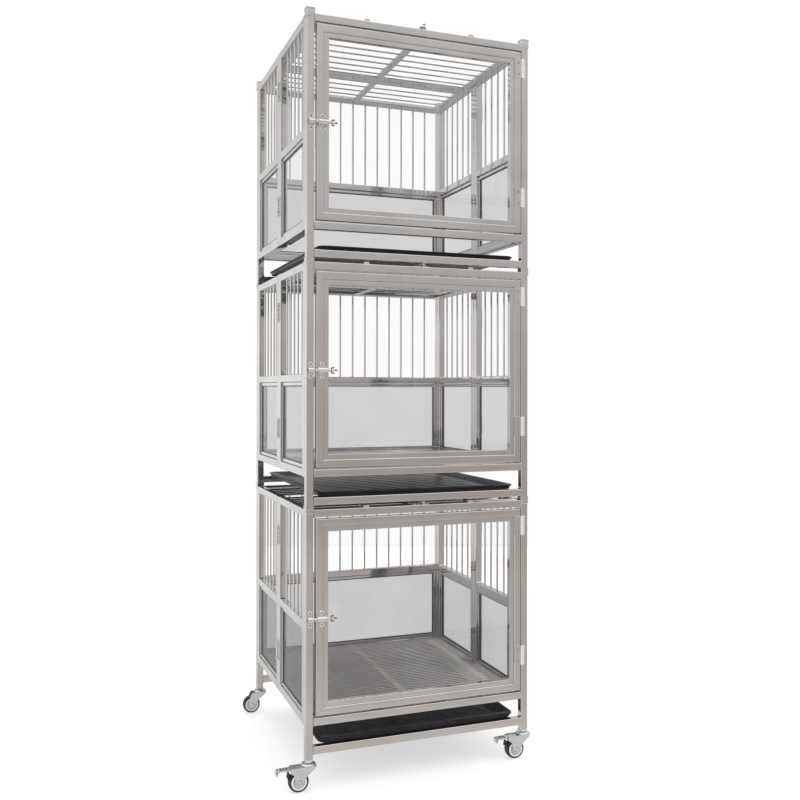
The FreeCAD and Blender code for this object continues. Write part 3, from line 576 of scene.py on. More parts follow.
# ---- floor and roof ----
def floor_grille(tier):
    name = tier + "_floor_grille"
    shell = Shell(tier_lift(tier))
    x0, x1 = TUBE + 0.5, RIGHT - 0.5
    y0, y1 = TUBE + 1, BACK - 1
    top = FLOOR_TOP - 2 * FLOOR_ROD
    low = top - FLOOR_BAR_TALL
    centre = (x0 + x1) / 2
    for x in (x0, centre - FLOOR_BAR / 2, x1 - FLOOR_BAR):
        shell.bar("y", (x, y0 + FLOOR_BAR, low), (x + FLOOR_BAR, y1 - FLOOR_BAR, top), 1.2, 2, finish=1)
    for y in (y0, y1 - FLOOR_BAR):
        shell.bar("x", (x0, y, low), (x1, y + FLOOR_BAR, top), 1.2, 2, 0.8)
    count = int((y1 - y0) / FLOOR_PITCH) - 1
    for y in spread(y0, y1, count):
        shell.rod("x", y, top + FLOOR_ROD * 0.75, x0, x1, FLOOR_ROD, segments=10)
    make(name + "_mesh", shell, "cage_frame", [GRILLE, GRILLE], [name])


def roof_rows(start, end):
    """Where the evenly pitched roof rods fall between two cross bars."""
    rows = []
    y = ROOF_ROD_FIRST
    while y < end - ROD:
        if y > start + ROD:
            rows.append(y)
        y += ROOF_ROD_PITCH
    return rows


def roof_half(shell, x0, x1, y0, y1, tall_front):
    low, high = TOP_RAIL, TOP_RAIL + ROOF_FLAT
    if tall_front:
        shell.bar("x", (x0, y0, low), (x1, y0 + TUBE, POST_TOP), chamfer=0.4)
    else:
        shell.bar("x", (x0, y0, low), (x1, y0 + TUBE, high), 1.0, 2, 0.4)
    shell.bar("x", (x0, y1 - TUBE, low), (x1, y1, high), 1.0, 2, 0.4)
    for left, right in ((x0, x0 + TUBE), ROOF_STRIP, (x1 - TUBE, x1)):
        shell.bar("y", (left, y0 + TUBE, low), (right, y1 - TUBE, high), 1.0, 2, finish=1)
    for y in roof_rows(y0 + TUBE, y1 - TUBE):
        shell.rod("x", y, high + ROD, x0 + TUBE / 4, x1 - TUBE / 4, ROD)


def roof_pads(shell):
    """Two rest tabs that lie over the front rail, each with a screw."""
    for x in ROOF_PADS:
        top = POST_TOP + ROOF_PAD_TALL
        low, high = (x, ROOF_PAD_FRONT, POST_TOP), (x + ROOF_PAD_WIDE, 2 * TUBE, top)
        shell.bar("y", low, high, 1.6, 3, 0.8, finish=3)
        screw(shell, "z", x + ROOF_PAD_WIDE / 2, ROOF_PAD_SCREW_Y, top, 1, 2.4, 0.9)


def roof_hinge(shell, front):
    """Leaves and knuckles of the two roof hinges, on one side of the fold."""
    top = TOP_RAIL + ROOF_FLAT
    third = HINGE_LENGTH / 3
    out = -1 if front else 1
    for x in ROOF_HINGES:
        y0, y1 = sorted((ROOF_SPLIT + out * LEAF_REACH, ROOF_SPLIT + out * 2.4))
        shell.bar("x", (x, y0, top), (x + HINGE_LENGTH, y1, top + LEAF), 0.6, 1, 0.4, finish=3)
        runs = [(x, x + third), (x + 2 * third, x + HINGE_LENGTH)] if front else \
            [(x + third + 0.3, x + 2 * third - 0.3)]
        for low, high in runs:
            shell.rod("x", ROOF_SPLIT, top + KNUCKLE, low, high, KNUCKLE, segments=20, finish=3)
        for at in (x + 9, x + HINGE_LENGTH - 9):
            screw(shell, "z", at, (y0 + y1) / 2, top + LEAF, 1, 2.6, 1.0)


def roof(tier):
    lift = tier_lift(tier)
    rear = Shell(lift)
    y0, y1 = ROOF_SPLIT + 0.5, BACK - 1
    roof_half(rear, TUBE, RIGHT, y0, y1, False)
    front = Shell(lift) if tier == "upper" else rear
    front_end = ROOF_SPLIT - 0.5
    roof_half(front, TUBE + 2, RIGHT - 2, TUBE + 2, front_end, True)
    roof_pads(front)
    roof_latch_band(front, TUBE + 3, 2 * TUBE + 1)
    if tier == "upper":
        roof_hinge(front, True)
        make("upper_roof_hatch_bars", front, "roof_hatch", METALS, ["upper_roof_hatch"])
    name = tier + "_roof_grille"
    make(name + "_bars", rear, "cage_frame", METALS, [name])


# ---- fittings ----
def screw(shell, axis, u, v, a, outward, radius=3.0, height=1.6, washer=1.25):
    """A pan head in two halves with the driver slot between them, on a thin washer: the dark head is painted
    shade and the near-white washer a painted highlight.
    """
    slot, rim = radius * 0.14, radius * 0.93
    base = sorted((a, a + outward * height * 0.35))
    shell.lathe(axis, u, v, [(base[0], radius * washer), (base[1], radius * (washer - 0.05))], 24, finish=5)
    for side in (-1, 1):
        outline = []
        for k in range(9):
            angle = math.radians(-80 + 20 * k)
            outline.append((side * (slot + (rim - slot) * math.cos(angle)), rim * math.sin(angle)))
        if side < 0:
            outline.reverse()
        tip = [(pu * 0.8 + side * slot * 0.2, pv * 0.78) for pu, pv in outline]
        stations = [(a + outward * height * 0.3, outline), (a + outward * height * 0.75, outline),
                    (a + outward * height, tip)]
        if outward < 0:
            stations.reverse()
        rings = [[shell.point(axis, at, u + pu, v + pv) for pu, pv in line] for at, line in stations]
        shell.rings(rings, finish=4)


def band_outline(half_wide, half_tall, half_band, ear):
    """Outline of a latch plate, counter-clockwise: a band with a round ear above and below."""
    centre = half_tall - ear
    quarter = []
    for k in range(10):
        angle = math.radians(90 - 16 * k)
        quarter.append((ear * math.cos(angle), centre + ear * math.sin(angle)))
    quarter.append((ear * 0.62, half_band + 1.4))
    quarter.append((half_wide - 1.0, half_band + 0.6))
    quarter.append((half_wide, half_band - 0.6))
    upper = list(reversed(quarter))
    lower = [(w, -t) for w, t in quarter]
    right = lower + upper
    left = [(-w, -t) for w, t in right]
    return right + left[1:-1]


def arch(shell, axis, runs, across, base, outward, half, rise, leg, wall):
    """A pressed band: an arched sheet that stands on straight legs over the bolt."""
    outline = [(half, 0.0)]
    steps = 12
    for k in range(steps + 1):
        angle = math.radians(180 * k / steps)
        outline.append((half * math.cos(angle), leg + rise * math.sin(angle)))
    outline += [(-half, 0.0), (-half + wall, 0.0)]
    for k in range(steps + 1):
        angle = math.radians(180 - 180 * k / steps)
        outline.append(((half - wall) * math.cos(angle), leg + (rise - wall) * math.sin(angle)))
    outline.append((half - wall, 0.0))
    rings = []
    for a in runs:
        ring = []
        for side, up in outline:
            ring.append(shell.point(axis, a, base + outward * up, across + side))
        rings.append(ring)
    shell.rings(rings, finish=3)


def door_latch_band(shell, x0, x1):
    """A latch keeper or housing on the front face: eared plate, arched band and two screws."""
    middle, half = (x0 + x1) / 2, (x1 - x0) / 2
    ear = 5.8
    outline = band_outline(half, LATCH_TALL / 2, LATCH_BAND / 2, ear)
    shell.plate("y", [(LATCH_Z + t, middle + w) for w, t in outline], -LEAF, 0, 0.35, finish=3)
    reach = LATCH_TALL / 2 - ear
    for z in (LATCH_Z - reach, LATCH_Z + reach):
        screw(shell, "y", z, middle, -LEAF, -1, washer=1.6)
    lip = 1.8
    half_band = LATCH_BAND / 2
    leg = LATCH_OUT - 1.4
    arch(shell, "x", (x0 + 0.3, x1 - 0.3), LATCH_Z, -0.4, -1, half_band - 0.5, half_band - 0.6, leg, 1.0)
    for a0 in (x0, x1 - lip):
        arch(shell, "x", (a0, a0 + lip), LATCH_Z, -0.4, -1, half_band, half_band, leg, 1.6)


def door_bolt(tier):
    """A round bolt with a wire pull loop and a knob at its end."""
    name = tier + "_door_bolt"
    shell = Shell(tier_lift(tier))
    y = -LATCH_OUT
    x0, x1 = RING
    shaft = [(BOLT_TIP, 2.4), (BOLT_TIP + 1.6, LATCH_BOLT), (HOUSING[1] + 2.5, LATCH_BOLT),
             (HOUSING[1] + 3.5, 3.0), (x0, 3.0)]
    shell.lathe("x", y, LATCH_Z, shaft, 24)
    wire = 2.0
    back, bow = x0 + wire, RING_HALF - wire
    loop = [(x1, y, LATCH_Z - bow), (back + 3, y, LATCH_Z - bow), (back + 1, y, LATCH_Z - bow + 1)]
    loop += [(back, y, LATCH_Z - bow + 3), (back, y, LATCH_Z + bow - 3)]
    loop += [(back + 1, y, LATCH_Z + bow - 1), (back + 3, y, LATCH_Z + bow), (x1, y, LATCH_Z + bow)]
    shell.sweep(loop, wire, (0, 1, 0), finish=1)
    shell.lathe("x", y, LATCH_Z, [(x0, 2.0), (x1 + 2, 2.0)], 20)
    knob = [(x1 + 1, 2.0), (x1 + 1.6, 2.4), (KNOB_END - 1, 2.4), (KNOB_END, 1.4)]
    shell.lathe("x", y, LATCH_Z, knob, 20, finish=1)
    make(name + "_latch", shell, tier + "_door_latch", [FITTING, DARK_STEEL], [name])


def door_hinge_knuckles(shell, low, on_door):
    third = HINGE_LENGTH / 3
    runs = [(low + third + 0.3, low + 2 * third - 0.3)] if on_door else \
        [(low, low + third), (low + 2 * third, low + HINGE_LENGTH)]
    for z0, z1 in runs:
        # The knuckles take the near-white steel: a painted highlight.
        shell.rod("z", HINGE_X, HINGE_Y, z0, z1, KNUCKLE, segments=24, finish=5)


def hinge_leaf(shell, x0, x1, low, corner=2.5, finish=2):
    outline = section(x0, x1, low, low + HINGE_LENGTH, corner, 4)
    shell.plate("y", [(z, x) for x, z in reversed(outline)], -LEAF, 0, 0.3, finish)


def door_fittings(tier):
    name = tier + "_door_fittings"
    shell = Shell(tier_lift(tier))
    for low in HINGE_HEIGHTS:
        left, right = DOOR_RIGHT - TUBE, HINGE_X - 1.6
        hinge_leaf(shell, left, right, low)
        door_hinge_knuckles(shell, low, True)
        for z in (low + 10, low + HINGE_LENGTH - 10):
            screw(shell, "y", z, left + 9.5, -LEAF, -1, 3.3, 1.2, 1.06)
    door_latch_band(shell, *HOUSING)
    make(name + "_steel", shell, tier + "_door", METALS, [name])


def joined(shells):
    """One shell from several that are lifted to different tiers."""
    whole = Shell()
    for shell in shells:
        offset = len(whole.points)
        whole.points += [(x, y, z + shell.lift) for x, y, z in shell.points]
        whole.faces += [tuple(i + offset for i in face) for face in shell.faces]
        whole.finishes += shell.finishes
    return whole


def on_each_tier(draw):
    """One shell of what draw(shell, tier) adds to every tier."""
    shells = []
    for tier in TIERS:
        shells.append(Shell(tier_lift(tier)))
        draw(shells[-1], tier)
    return joined(shells)


def door_hinge_posts(shell, tier):
    """The post side of one door's two hinges: leaf, outer knuckles and the ends of the pin."""
    for low in HINGE_HEIGHTS:
        # The post leaf takes the near-white steel: a painted highlight.
        hinge_leaf(shell, HINGE_X + 1.6, HINGE_X + KNUCKLE + 5, low, 0.8, 5)
        door_hinge_knuckles(shell, low, False)
        for z0, z1 in ((low - 1.2, low), (low + HINGE_LENGTH, low + HINGE_LENGTH + 1.2)):
            pin = [(z0, 1.6), (z0 + 0.3, 2.0), (z1 - 0.3, 2.0), (z1, 1.6)]
            shell.lathe("z", HINGE_X, HINGE_Y, pin, 16, 3)


def fixed_hinge_parts():
    roof_leaves = Shell(tier_lift("upper"))
    roof_hinge(roof_leaves, False)
    whole = joined([on_each_tier(door_hinge_posts), roof_leaves])
    name = "fixed_hinge_leaves_and_pins"
    make("hinge_leaves", whole, "cage_frame", METALS, [name])


def door_keepers():
    whole = on_each_tier(lambda shell, tier: door_latch_band(shell, *KEEPER))
    make("keepers_on_posts", whole, "cage_frame", METALS, ["door_latch_keepers"])


def roof_latch_band(shell, y0, y1):
    """A low wide band on top of a bar, with a round ear at each end."""
    middle, half = (y0 + y1) / 2, (y1 - y0) / 2
    ear = 5.6
    wide = ROOF_LATCH_WIDE / 2
    outline = [(ROOF_LATCH_X + t, middle - w) for w, t in band_outline(half, wide, ROOF_BAND / 2, ear)]
    shell.plate("z", outline, POST_TOP, POST_TOP + LEAF, 0.35, finish=3)
    for x in (ROOF_LATCH_X - wide + ear, ROOF_LATCH_X + wide - ear):
        screw(shell, "z", x, middle, POST_TOP + LEAF, 1, 2.6, 1.2)
    leg = 1.8
    arch(shell, "y", (y0, y1), ROOF_LATCH_X, POST_TOP, 1, ROOF_BAND / 2, ROOF_BAND_TOP - leg, leg, 1.2)


def roof_housings():
    whole = on_each_tier(lambda shell, tier: roof_latch_band(shell, 2, TUBE - 2))
    make("housings_on_rails", whole, "cage_frame", METALS, ["roof_latch_housings"])


def roof_bolt(tier):
    name = tier + "_roof_bolt"
    shell = Shell(tier_lift(tier))
    z = POST_TOP + ROOF_LATCH_UP
    front = ROOF_KNOB_Y - 3
    shaft = [(front, 1.4), (front + 0.8, ROOF_BOLT), (TUBE + 0.3, ROOF_BOLT), (TUBE + 1, 1.5)]
    shell.lathe("y", z, ROOF_LATCH_X, shaft, 18)
    top = POST_TOP + 9.6
    knob = [(z + 1, 1.6), (top - 2.4, 1.6), (top - 2.2, 3.8), (top - 1.6, 4.4), (top - 0.8, 4.3), (top, 2.8)]
    shell.lathe("z", ROOF_LATCH_X, ROOF_KNOB_Y, knob, 24, finish=1)
    make(name + "_slide", shell, tier + "_roof_latch", [FITTING, ROD_STEEL], [name])


def post_collars(shell, tier):
    """Sleeves round the post joints with their skirts; caps instead of skirts on the top tier."""
    for x in (0, RIGHT):
        for y in (0, BACK):
            x0, x1 = (x - SLEEVE, x + TUBE) if x == 0 else (x, x + TUBE + SLEEVE)
            y0, y1 = (y - SLEEVE, y + TUBE) if y == 0 else (y, y + TUBE + SLEEVE)
            shell.bar("z", (x0, y0, POST_TOP - SLEEVE_DOWN), (x1, y1, POST_TOP), 3.0, 4, 0.3, finish=2)
            x0, x1, y0, y1 = x - SLEEVE, x + TUBE + SLEEVE, y - SLEEVE, y + TUBE + SLEEVE
            base = POST_TOP + 0.05
            if tier != "upper":
                shell.bar("z", (x0, y0, base), (x1, y1, SKIRT_TOP), 3.0, 4, 0.3, finish=2)
                continue
            shell.bar("z", (x0, y0, base), (x1, y1, CAP_STEP), 4.5, 5, 0.5, finish=3)
            low, high = (x0 + 0.4, y0 + 0.4, CAP_STEP - 0.4), (x1 - 0.4, y1 - 0.4, CAP_TOP)
            shell.bar("z", low, high, 4.5, 5, 1.6, finish=3)


def collars():
    whole = on_each_tier(post_collars)
    make("post_sleeves", whole, "cage_frame", METALS, ["stacking_collars"])


def side_fold_hinges(shell, tier):
    """Two hinges on the outside of each side frame: leaves, screws and five knuckles."""
    length = FOLD_HINGE_LENGTH
    for low in FOLD_HINGES:
        for face, out in ((0, -1), (WIDTH, 1)):
            x0, x1 = sorted((face, face + out * LEAF))
            for y0, y1 in ((FOLD - LEAF_REACH, FOLD - 2.2), (FOLD + 2.2, FOLD + LEAF_REACH)):
                shell.plate("x", section(y0, y1, low, low + length, 2.5, 4), x0, x1, 0.3, finish=3)
                for z in (low + 10, low + length - 10):
                    screw(shell, "x", (y0 + y1) / 2, z, face + out * LEAF, out, 2.8, 1.3)
            for k in range(5):
                z0 = low + length * k / 5
                z1 = z0 + length / 5
                pin_x = face + out * KNUCKLE
                shell.rod("z", pin_x, FOLD, z0 + 0.1, z1 - 0.1, KNUCKLE, segments=20, finish=3)


def fold_hinges():
    whole = on_each_tier(side_fold_hinges)
    make("fold_hinges_of_sides", whole, "cage_frame", METALS, ["side_fold_hinges"])


# ---- doors ----
def mitred_frame(shell, x0, x1, y0, y1, z0, z1, width, radius, gap=0.12):
    """Four bars round a rectangle in the XZ plane, meeting in mitres with a hairline seam."""
    def up_from(level):
        return lambda u, v: abs(v - level) + gap

    def across_from(level):
        return lambda u, v: abs(u - level) + gap

    shell.bar("x", (x0, y0, z0), (x1, y1, z0 + width), radius, depth=up_from(z0), finish=0)
    shell.bar("x", (x0, y0, z1 - width), (x1, y1, z1), radius, depth=up_from(z1), finish=0)
    shell.bar("z", (x0, y0, z0), (x0 + width, y1, z1), radius, depth=across_from(x0), finish=2)
    shell.bar("z", (x1 - width, y0, z0), (x1, y1, z1), radius, depth=across_from(x1), finish=2)


def door(tier):
    body = tier + "_door"
    shell = Shell(tier_lift(tier))
    mitred_frame(shell, DOOR_LEFT, DOOR_RIGHT, 0, TUBE, DOOR_LOW, DOOR_HIGH, TUBE, TUBE_ROUND)
    near, far = DOOR_BEAD_INSET, TUBE - DOOR_BEAD_INSET
    mitred_frame(
        shell, DOOR_LEFT + TUBE, DOOR_RIGHT - TUBE, near, far,
        DOOR_LOW + TUBE, DOOR_HIGH - TUBE, DOOR_BEAD, 1.2,
    )
    make(tier + "_door_tubes", shell, body, TUBES, [tier + "_door_frame"])
    glass = Shell(tier_lift(tier))
    inset = TUBE + DOOR_BEAD - 0.5
    half = GLASS / 2
    pane(
        glass, "x",
        (DOOR_LEFT + inset, TUBE / 2 - half, DOOR_LOW + inset),
        (DOOR_RIGHT - inset, TUBE / 2 + half, DOOR_HIGH - inset),
    )
    make(tier + "_door_pane", glass, body, [DOOR_PANE], [tier + "_door_glass"])


# ---- trays ----
def tray_ring(inset, z):
    """The tray's rounded outline, that far inside its rim and that high."""
    radius = max(TRAY_CORNER - inset * 0.5, 8.0)
    (x0, x1), (y0, y1) = TRAY_X, TRAY_Y
    outline = section(x0 + inset, x1 - inset, y0 + inset, y1 - inset, radius, 7)
    return [(x, y, TRAY_Z + z) for x, y in outline]


def tray(tier):
    """A thin moulded tray: rolled rim, sloping walls, level bottom with raised ribs."""
    name = tier + "_tray"
    shell = Shell(tier_lift(tier))
    profile = [
        (42.0, 0.0), (6.0, 0.0), (5.0, 0.6), (3.6, 7.6), (1.6, 7.9), (0.5, 8.2), (0.0, 9.4),
        (0.4, 10.9), (1.6, 11.8), (3.0, 12.0), (8.0, 12.0), (9.6, 11.7), (11.0, 10.9),
        (40.0, 2.4), (41.5, 2.05), (44.0, 2.0),
    ]
    shell.rings([tray_ring(inset, z) for inset, z in profile])
    x0, x1 = TRAY_X[0] + TRAY_RIB_INSET, TRAY_X[1] - TRAY_RIB_INSET
    y0, y1 = TRAY_Y[0] + TRAY_RIB_INSET, TRAY_Y[1] - TRAY_RIB_INSET
    top = TRAY_Z + 1.9
    for k in range(9):
        across = x0 + (x1 - x0) * k / 8
        for sign in (-1, 1):
            path = []
            for j in range(13):
                y = y0 + (y1 - y0) * j / 12
                x = across + sign * (y - (y0 + y1) / 2) * TRAY_RIB_SLANT
                if x0 <= x <= x1:
                    path.append((x, y, top))
            if len(path) > 2:
                shell.sweep(path, TRAY_RIB, (0, 0, 1), segments=8)
    make(name + "_moulding", shell, tier + "_tray", [TRAY], [name])


# ---- casters ----
def cheek_outline(braked):
    """Side view of a fork cheek, from the ear round the axle up to the swivel head."""
    outline = []
    for k in range(10):
        angle = math.radians(195 + 150 * k / 9)
        outline.append((-TRAIL + 9.6 * math.cos(angle), WHEEL + 9.6 * math.sin(angle)))
    outline += [(-6.0, 38.0), (4.0, 48.0), (14.0, 55.0), (17.5, 60.5)]
    if braked:
        return outline + [(-42.0, 60.5), (-46.0, 58.5), (-48.0, 54.0), (-47.0, 50.0),
                          (-38.0, 44.0), (-35.0, 32.0)]
    return outline + [(-23.0, 60.5), (-27.0, 56.0), (-31.0, 46.0), (-34.8, 32.0)]


def fork(name, cx, cy, braked):
    """Swivel head, two cheeks, the web behind them and the axle bolt; step teeth on a braked one."""
    shell = Shell()
    head = [(60.0, 14.5), (60.3, 16.0), (61.2, 17.6), (62.2, 18.3), (63.0, 18.5), (63.8, 18.2),
            (64.0, 17.4), (64.3, 16.9), (65.2, 16.2), (66.0, 13.0)]
    shell.lathe("z", cx, cy, head, 40)
    outline = cheek_outline(braked)
    for side in (-1, 1):
        outer = cy + side * (FORK_INSIDE + CHEEK)
        y0, y1 = sorted((cy + side * FORK_INSIDE, outer))
        shell.plate("y", [(z, cx + x) for x, z in outline], y0, y1, 0.5)
        a0, a1 = sorted((outer, outer + side * 0.8))
        shell.rod("y", WHEEL, cx - TRAIL, a0, a1, 6.6, segments=28)
        a0, a1 = sorted((outer + side * 0.7, outer + side * 2.5))
        shell.plate("y", circle(WHEEL, cx - TRAIL, 5.2, 6), a0, a1, 0.5)
        a0, a1 = sorted((outer + side * 2.4, outer + side * 3.4))
        shell.rod("y", WHEEL, cx - TRAIL, a0, a1, 2.6, segments=16)
    web = [(16.5, 59.5), (13.0, 55.5), (4.0, 48.5), (0.0, 44.0),
           (1.6, 43.0), (5.6, 47.0), (14.6, 54.0), (18.0, 59.5)]
    shell.plate("y", [(z, cx + x) for x, z in web], cy - FORK_INSIDE - 0.5, cy + FORK_INSIDE + 0.5, 0.3)
    shell.rod("y", WHEEL, cx - TRAIL, cy - FORK_INSIDE, cy + FORK_INSIDE, 3.0, segments=20)
    if braked:
        for pin_x, pin_z, radius, out in ((-15.0, 56.5, HEEL_PIN, 3), (-41.0, 52.0, TOE_PIN, 3.6)):
            half = FORK_INSIDE + out
            for side in (-1, 1):
                y0, y1 = sorted((cy + side * FORK_INSIDE, cy + side * half))
                shell.rod("y", pin_z, cx + pin_x, y0, y1, radius, segments=18)
        shell.rod("y", 56.5, cx - 15, cy - FORK_INSIDE, cy + FORK_INSIDE, HEEL_PIN, segments=16)
        for k in range(3):
            z = 34.0 + k * 4.5
            low, high = (cx - 52 + k * 0.9, cy - 8, z), (cx - 48.6 + k * 0.9, cy + 8, z + 4.0)
            shell.bar("y", low, high, 0.8, 2, 0.6, finish=1)
    piece, body = name + "_fork_pressing", name + "_caster"
    make(piece, shell, body, [ZINC, RUBBER], [name + "_caster_fork"])


def wheel(name, cx, cy):
    half = 10.0
    tyre = Shell()
    profile = []
    for k in range(13):
        angle = math.radians(-90 + 15 * k)
        profile.append((cy + half * math.sin(angle), 21.4 + 3.6 * max(math.cos(angle), 0.0) ** 0.6))
    profile += [(cy + half, 19.1), (cy - half, 19.1)]
    tyre.lathe("y", WHEEL, cx - TRAIL, profile, 64, closed=True)
    for side in (-1, 1):
        y0, y1 = sorted((cy + side * (half - 0.4), cy + side * (half + 0.5)))
        ring = [(y0, 21.6), (y0, 20.9), (y1, 21.0), (y1, 21.5)]
        tyre.lathe("y", WHEEL, cx - TRAIL, ring, 64, closed=True)
    make(name + "_tyre_tread", tyre, name + "_wheel", [TYRE], [name + "_caster_tyre"])

    hub = Shell()
    edge = half + 0.5
    face = [(edge - 0.5, 19.05), (edge, 18.4), (edge, 15.8), (edge - 0.6, 15.2)]
    for sign in (-1, 1):
        inner = cy + sign * (edge - 4)
        ring = [(cy + sign * a, r) for a, r in face] + [(inner, 15.2), (inner, 19.0)]
        if sign < 0:
            ring.reverse()
        hub.lathe("y", WHEEL, cx - TRAIL, ring, 56, finish=1, closed=True)
    web = [(edge - 2.4, 15.3), (edge - 2.8, 8.6), (edge - 0.4, 7.6), (edge, 7.0), (edge, 3.1)]
    left = [(cy - a, r) for a, r in reversed(web)]
    right = [(cy + a, r) for a, r in web]
    hub.lathe("y", WHEEL, cx - TRAIL, left + right, 48, closed=True)
    make(name + "_hub_core", hub, name + "_wheel", [HUB, PALE], [name + "_caster_hub"])


def pedal(name, cx, cy):
    """A channel-shaped foot lever: pierced top, rolled sides and an end turned down."""
    lever = Shell()
    side_view = [(-79.5, 47.5), (-77.0, 53.0), (-72.0, 54.5), (-11.0, 54.5), (-10.6, 57.5), (-12.0, 58.4),
                 (-74.0, 58.4), (-79.0, 57.0), (-80.0, 52.0)]
    for y0, y1 in ((cy - 9, cy - 7.6), (cy + 7.6, cy + 9)):
        lever.plate("y", [(z, cx + x) for x, z in side_view], y0, y1, 0.3)
    for x0, x1 in ((-78, -70.5), (-67.5, -64), (-61, -57), (-54, -12)):
        lever.bar("x", (cx + x0, cy - 8, 57.0), (cx + x1, cy + 8, 58.5), 0.7, 2, 0.4)
    lever.bar("y", (cx - 80, cy - 9, 46), (cx - 77.5, cy + 9, 57.5), 1.0, 2, 0.5)
    # A black rubber sheet just under the slots of the top: painted shade seen through them.
    lever.bar("x", (cx - 71, cy - 7.6, 55.4), (cx - 54, cy + 7.6, 56.4), 0.3, 1, 0.2, finish=1)
    lever.bar("y", (cx - 30, cy - 9, 52.6), (cx - 20, cy + 9, 57), 1.0, 2, 0.5, finish=1)
    piece, body = name + "_pedal_lever", name + "_brake"
    make(piece, lever, body, [ZINC, RUBBER], [name + "_brake_pedal"])


def caster(name, cx, cy, braked):
    fork(name, cx, cy, braked)
    wheel(name, cx, cy)
    if braked:
        pedal(name, cx, cy)


CASTERS = {
    "front_left": (STEM, STEM, True),
    "front_right": (WIDTH - STEM, STEM, True),
    "back_left": (STEM, DEPTH - STEM, False),
    "back_right": (WIDTH - STEM, DEPTH - STEM, False),
}


def stems():
    shell = Shell()
    for cx, cy, _ in CASTERS.values():
        half = TUBE / 2
        shell.bar("z", (cx - half, cy - half, 70.0), (cx + half, cy + half, 72.0), 2.0, 3, 0.4)
        nut = circle(cx, cy, 9.0, 6)
        shell.plate("z", nut, 66.4, 70.0, 0.6)
    make("stem_nuts", shell, "cage_frame", [ZINC], ["caster_stems"])


# ---- the cage ----
for tier_name in TIERS:
    front_frame(tier_name)
    back_frame(tier_name)
    side_frames(tier_name, "left", 0, TUBE)
    side_frames(tier_name, "right", RIGHT, RIGHT - LEDGE_WIDE)
    wall_glass(tier_name)
    if tier_name + "_floor_grille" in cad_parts:
        floor_grille(tier_name)
    roof(tier_name)
    tray(tier_name)
    door(tier_name)
    door_fittings(tier_name)
    door_bolt(tier_name)
    roof_bolt(tier_name)
fixed_hinge_parts()
door_keepers()
roof_housings()
collars()
fold_hinges()
stems()
for caster_name, place in CASTERS.items():
    caster(caster_name, *place)


# ---- floor, light and camera ----
# A plain room in front of the cage, as (rise per unit of level distance, colour).
ROOM = (
    (-0.4, (0.70, 0.66, 0.63)),
    (-0.1, (0.50, 0.45, 0.42)),
    (0.1, (0.60, 0.57, 0.56)),
    (0.4, (0.70, 0.68, 0.67)),
)
# The paler side behind it, the same way.
BEHIND = (
    (-0.4, (0.70, 0.70, 0.70)),
    (0.0, (1.00, 1.00, 1.00)),
    (0.4, (0.70, 0.69, 0.68)),
)
AWAY_LOW = (0.45, 0.45, 0.45)
AWAY_HIGH = (0.65, 0.65, 0.65)
LEFT_WALL = (1.0, 1.0, 1.0)
OVERHEAD = (1.6, 1.6, 1.6)
BACKDROP = (1.0, 1.0, 1.0)


CAMERA_TURN = math.radians(-20.53)
STAGE_NEAR = -1.4
STAGE_FAR = 3.0
STAGE_SIDE = 3.5
RISE_SPAN = 1.2


def stage_floor():
    """A pale matt floor square to the camera, kept out of the reflections in the tubes."""
    across, ahead = Vector((0.9365, -0.3507, 0)), Vector((0.3507, 0.9365, 0))
    near, far, side = STAGE_NEAR, STAGE_FAR, STAGE_SIDE
    corners = [ahead * near - across * side, ahead * near + across * side,
               ahead * far + across * side, ahead * far - across * side]
    mesh = bpy.data.meshes.new("floor")
    mesh.from_pydata([tuple(corner) for corner in corners], [], [(0, 1, 2, 3)])
    floor = bpy.data.objects.new("floor", mesh)
    bpy.context.scene.collection.objects.link(floor)
    made, nodes, links, shader = material("pale_floor")
    tone = noise(nodes, links, 2.0, (1, 1, 1), 2.0)
    links.new(ramp(nodes, links, tone, (0.49, 0.49, 0.49), (0.50, 0.50, 0.50)), shader.inputs["Base Color"])
    shader.inputs["Emission Color"].default_value = (1.0, 1.0, 1.0, 1.0)
    shader.inputs["Emission Strength"].default_value = 0.60
    shader.inputs["Roughness"].default_value = 0.8
    shader.inputs["Specular IOR Level"].default_value = 0.0
    mesh.materials.append(made)
    floor.visible_glossy = False


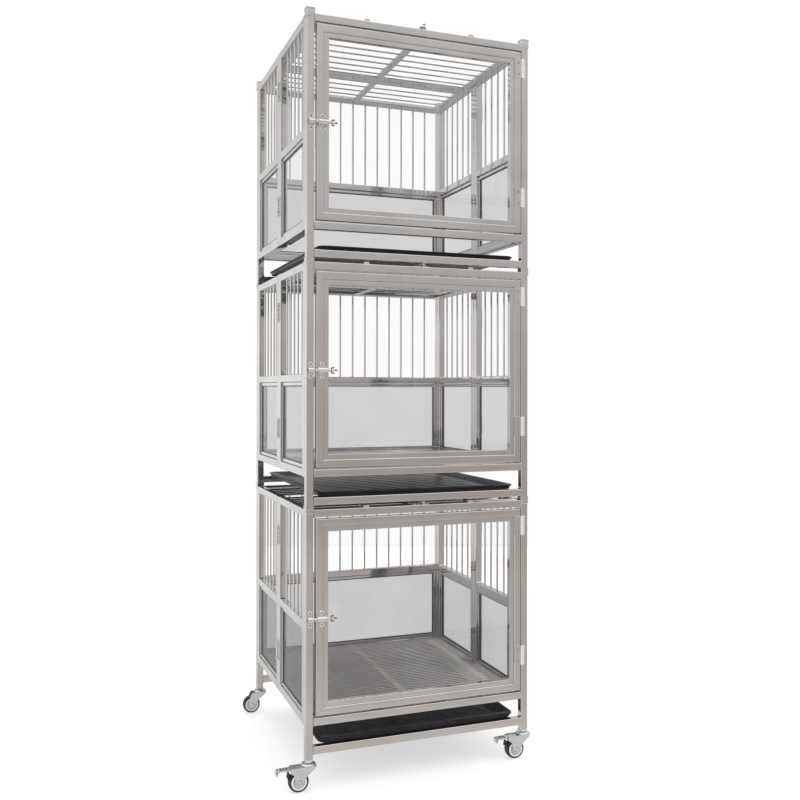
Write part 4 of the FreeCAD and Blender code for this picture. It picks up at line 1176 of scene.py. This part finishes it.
def world_light():
    """A soft studio: a white backdrop, light from overhead, and the greys and browns of a plain room."""
    world = bpy.data.worlds.new("studio")
    world.use_nodes = True
    bpy.context.scene.world = world
    nodes, links = world.node_tree.nodes, world.node_tree.links
    place = nodes.new("ShaderNodeTexCoord")
    apart = nodes.new("ShaderNodeSeparateXYZ")
    links.new(place.outputs["Generated"], apart.inputs["Vector"])

    def maths(operation, first, second):
        node = nodes.new("ShaderNodeMath")
        node.operation = operation
        for socket, value in zip(node.inputs, (first, second)):
            if isinstance(value, float):
                socket.default_value = value
            else:
                links.new(value, socket)
        return node.outputs["Value"]

    def stretch(value, low, high, start, end):
        node = nodes.new("ShaderNodeMapRange")
        node.interpolation_type = "SMOOTHSTEP"
        for key, number in (("From Min", start), ("From Max", end), ("To Min", low), ("To Max", high)):
            node.inputs[key].default_value = number
        links.new(value, node.inputs["Value"])
        return node.outputs["Result"]

    def blend(factor, first, second):
        node = nodes.new("ShaderNodeMix")
        node.data_type = "RGBA"
        links.new(factor, node.inputs["Factor"])
        sockets = [socket for socket in node.inputs if socket.type == "RGBA"]
        for socket, colour in zip(sockets, (first, second)):
            if isinstance(colour, tuple):
                socket.default_value = (*colour, 1)
            else:
                links.new(colour, socket)
        return next(socket for socket in node.outputs if socket.type == "RGBA")

    x, y, z = apart.outputs["X"], apart.outputs["Y"], apart.outputs["Z"]
    level = maths("SQRT", maths("ADD", maths("MULTIPLY", x, x), maths("MULTIPLY", y, y)), 0.0)
    level = maths("MAXIMUM", level, 0.001)
    slope = maths("DIVIDE", z, level)
    height = maths("ADD", maths("DIVIDE", slope, RISE_SPAN), 0.5)

    def stripes(stops):
        node = nodes.new("ShaderNodeValToRGB")
        elements = node.color_ramp.elements
        while len(elements) > 1:
            elements.remove(elements[-1])
        for k, (at, colour) in enumerate(stops):
            position = at / RISE_SPAN + 0.5
            stop = elements[0] if k == 0 else elements.new(position)
            stop.position = position
            stop.color = (*colour, 1)
        links.new(height, node.inputs["Fac"])
        return node.outputs["Color"]

    away = blend(stretch(slope, 0.0, 1.0, -0.05, 0.05), AWAY_LOW, AWAY_HIGH)
    behind = blend(stretch(x, 0.0, 1.0, -0.1, 0.2), stripes(BEHIND), away)
    front_and_left = blend(stretch(x, 1.0, 0.0, -0.85, -0.25), stripes(ROOM), LEFT_WALL)
    around = blend(stretch(y, 0.0, 1.0, -0.1, 0.3), front_and_left, behind)
    whole = blend(stretch(z, 0.0, 1.0, 0.5, 0.8), around, OVERHEAD)
    seen = nodes.new("ShaderNodeLightPath").outputs["Is Camera Ray"]
    links.new(blend(seen, whole, BACKDROP), nodes["Background"].inputs["Color"])


def camera():
    """The photograph's viewing angle: left of the cage, at half its height."""
    data = bpy.data.cameras.new("camera")
    data.sensor_width = 36.0
    data.lens = 40.887
    data.shift_y = -0.01875
    view = bpy.data.objects.new("camera", data)
    view.location = (CORNER.x - 0.5548, CORNER.y - 2.1242, 0.970)
    view.rotation_mode = "XYZ"
    view.rotation_euler = (math.radians(90.19), math.radians(-0.09), CAMERA_TURN)
    bpy.context.scene.collection.objects.link(view)
    bpy.context.scene.camera = view


stage_floor()
world_light()
camera()
bpy.context.scene.view_settings.view_transform = "Standard"
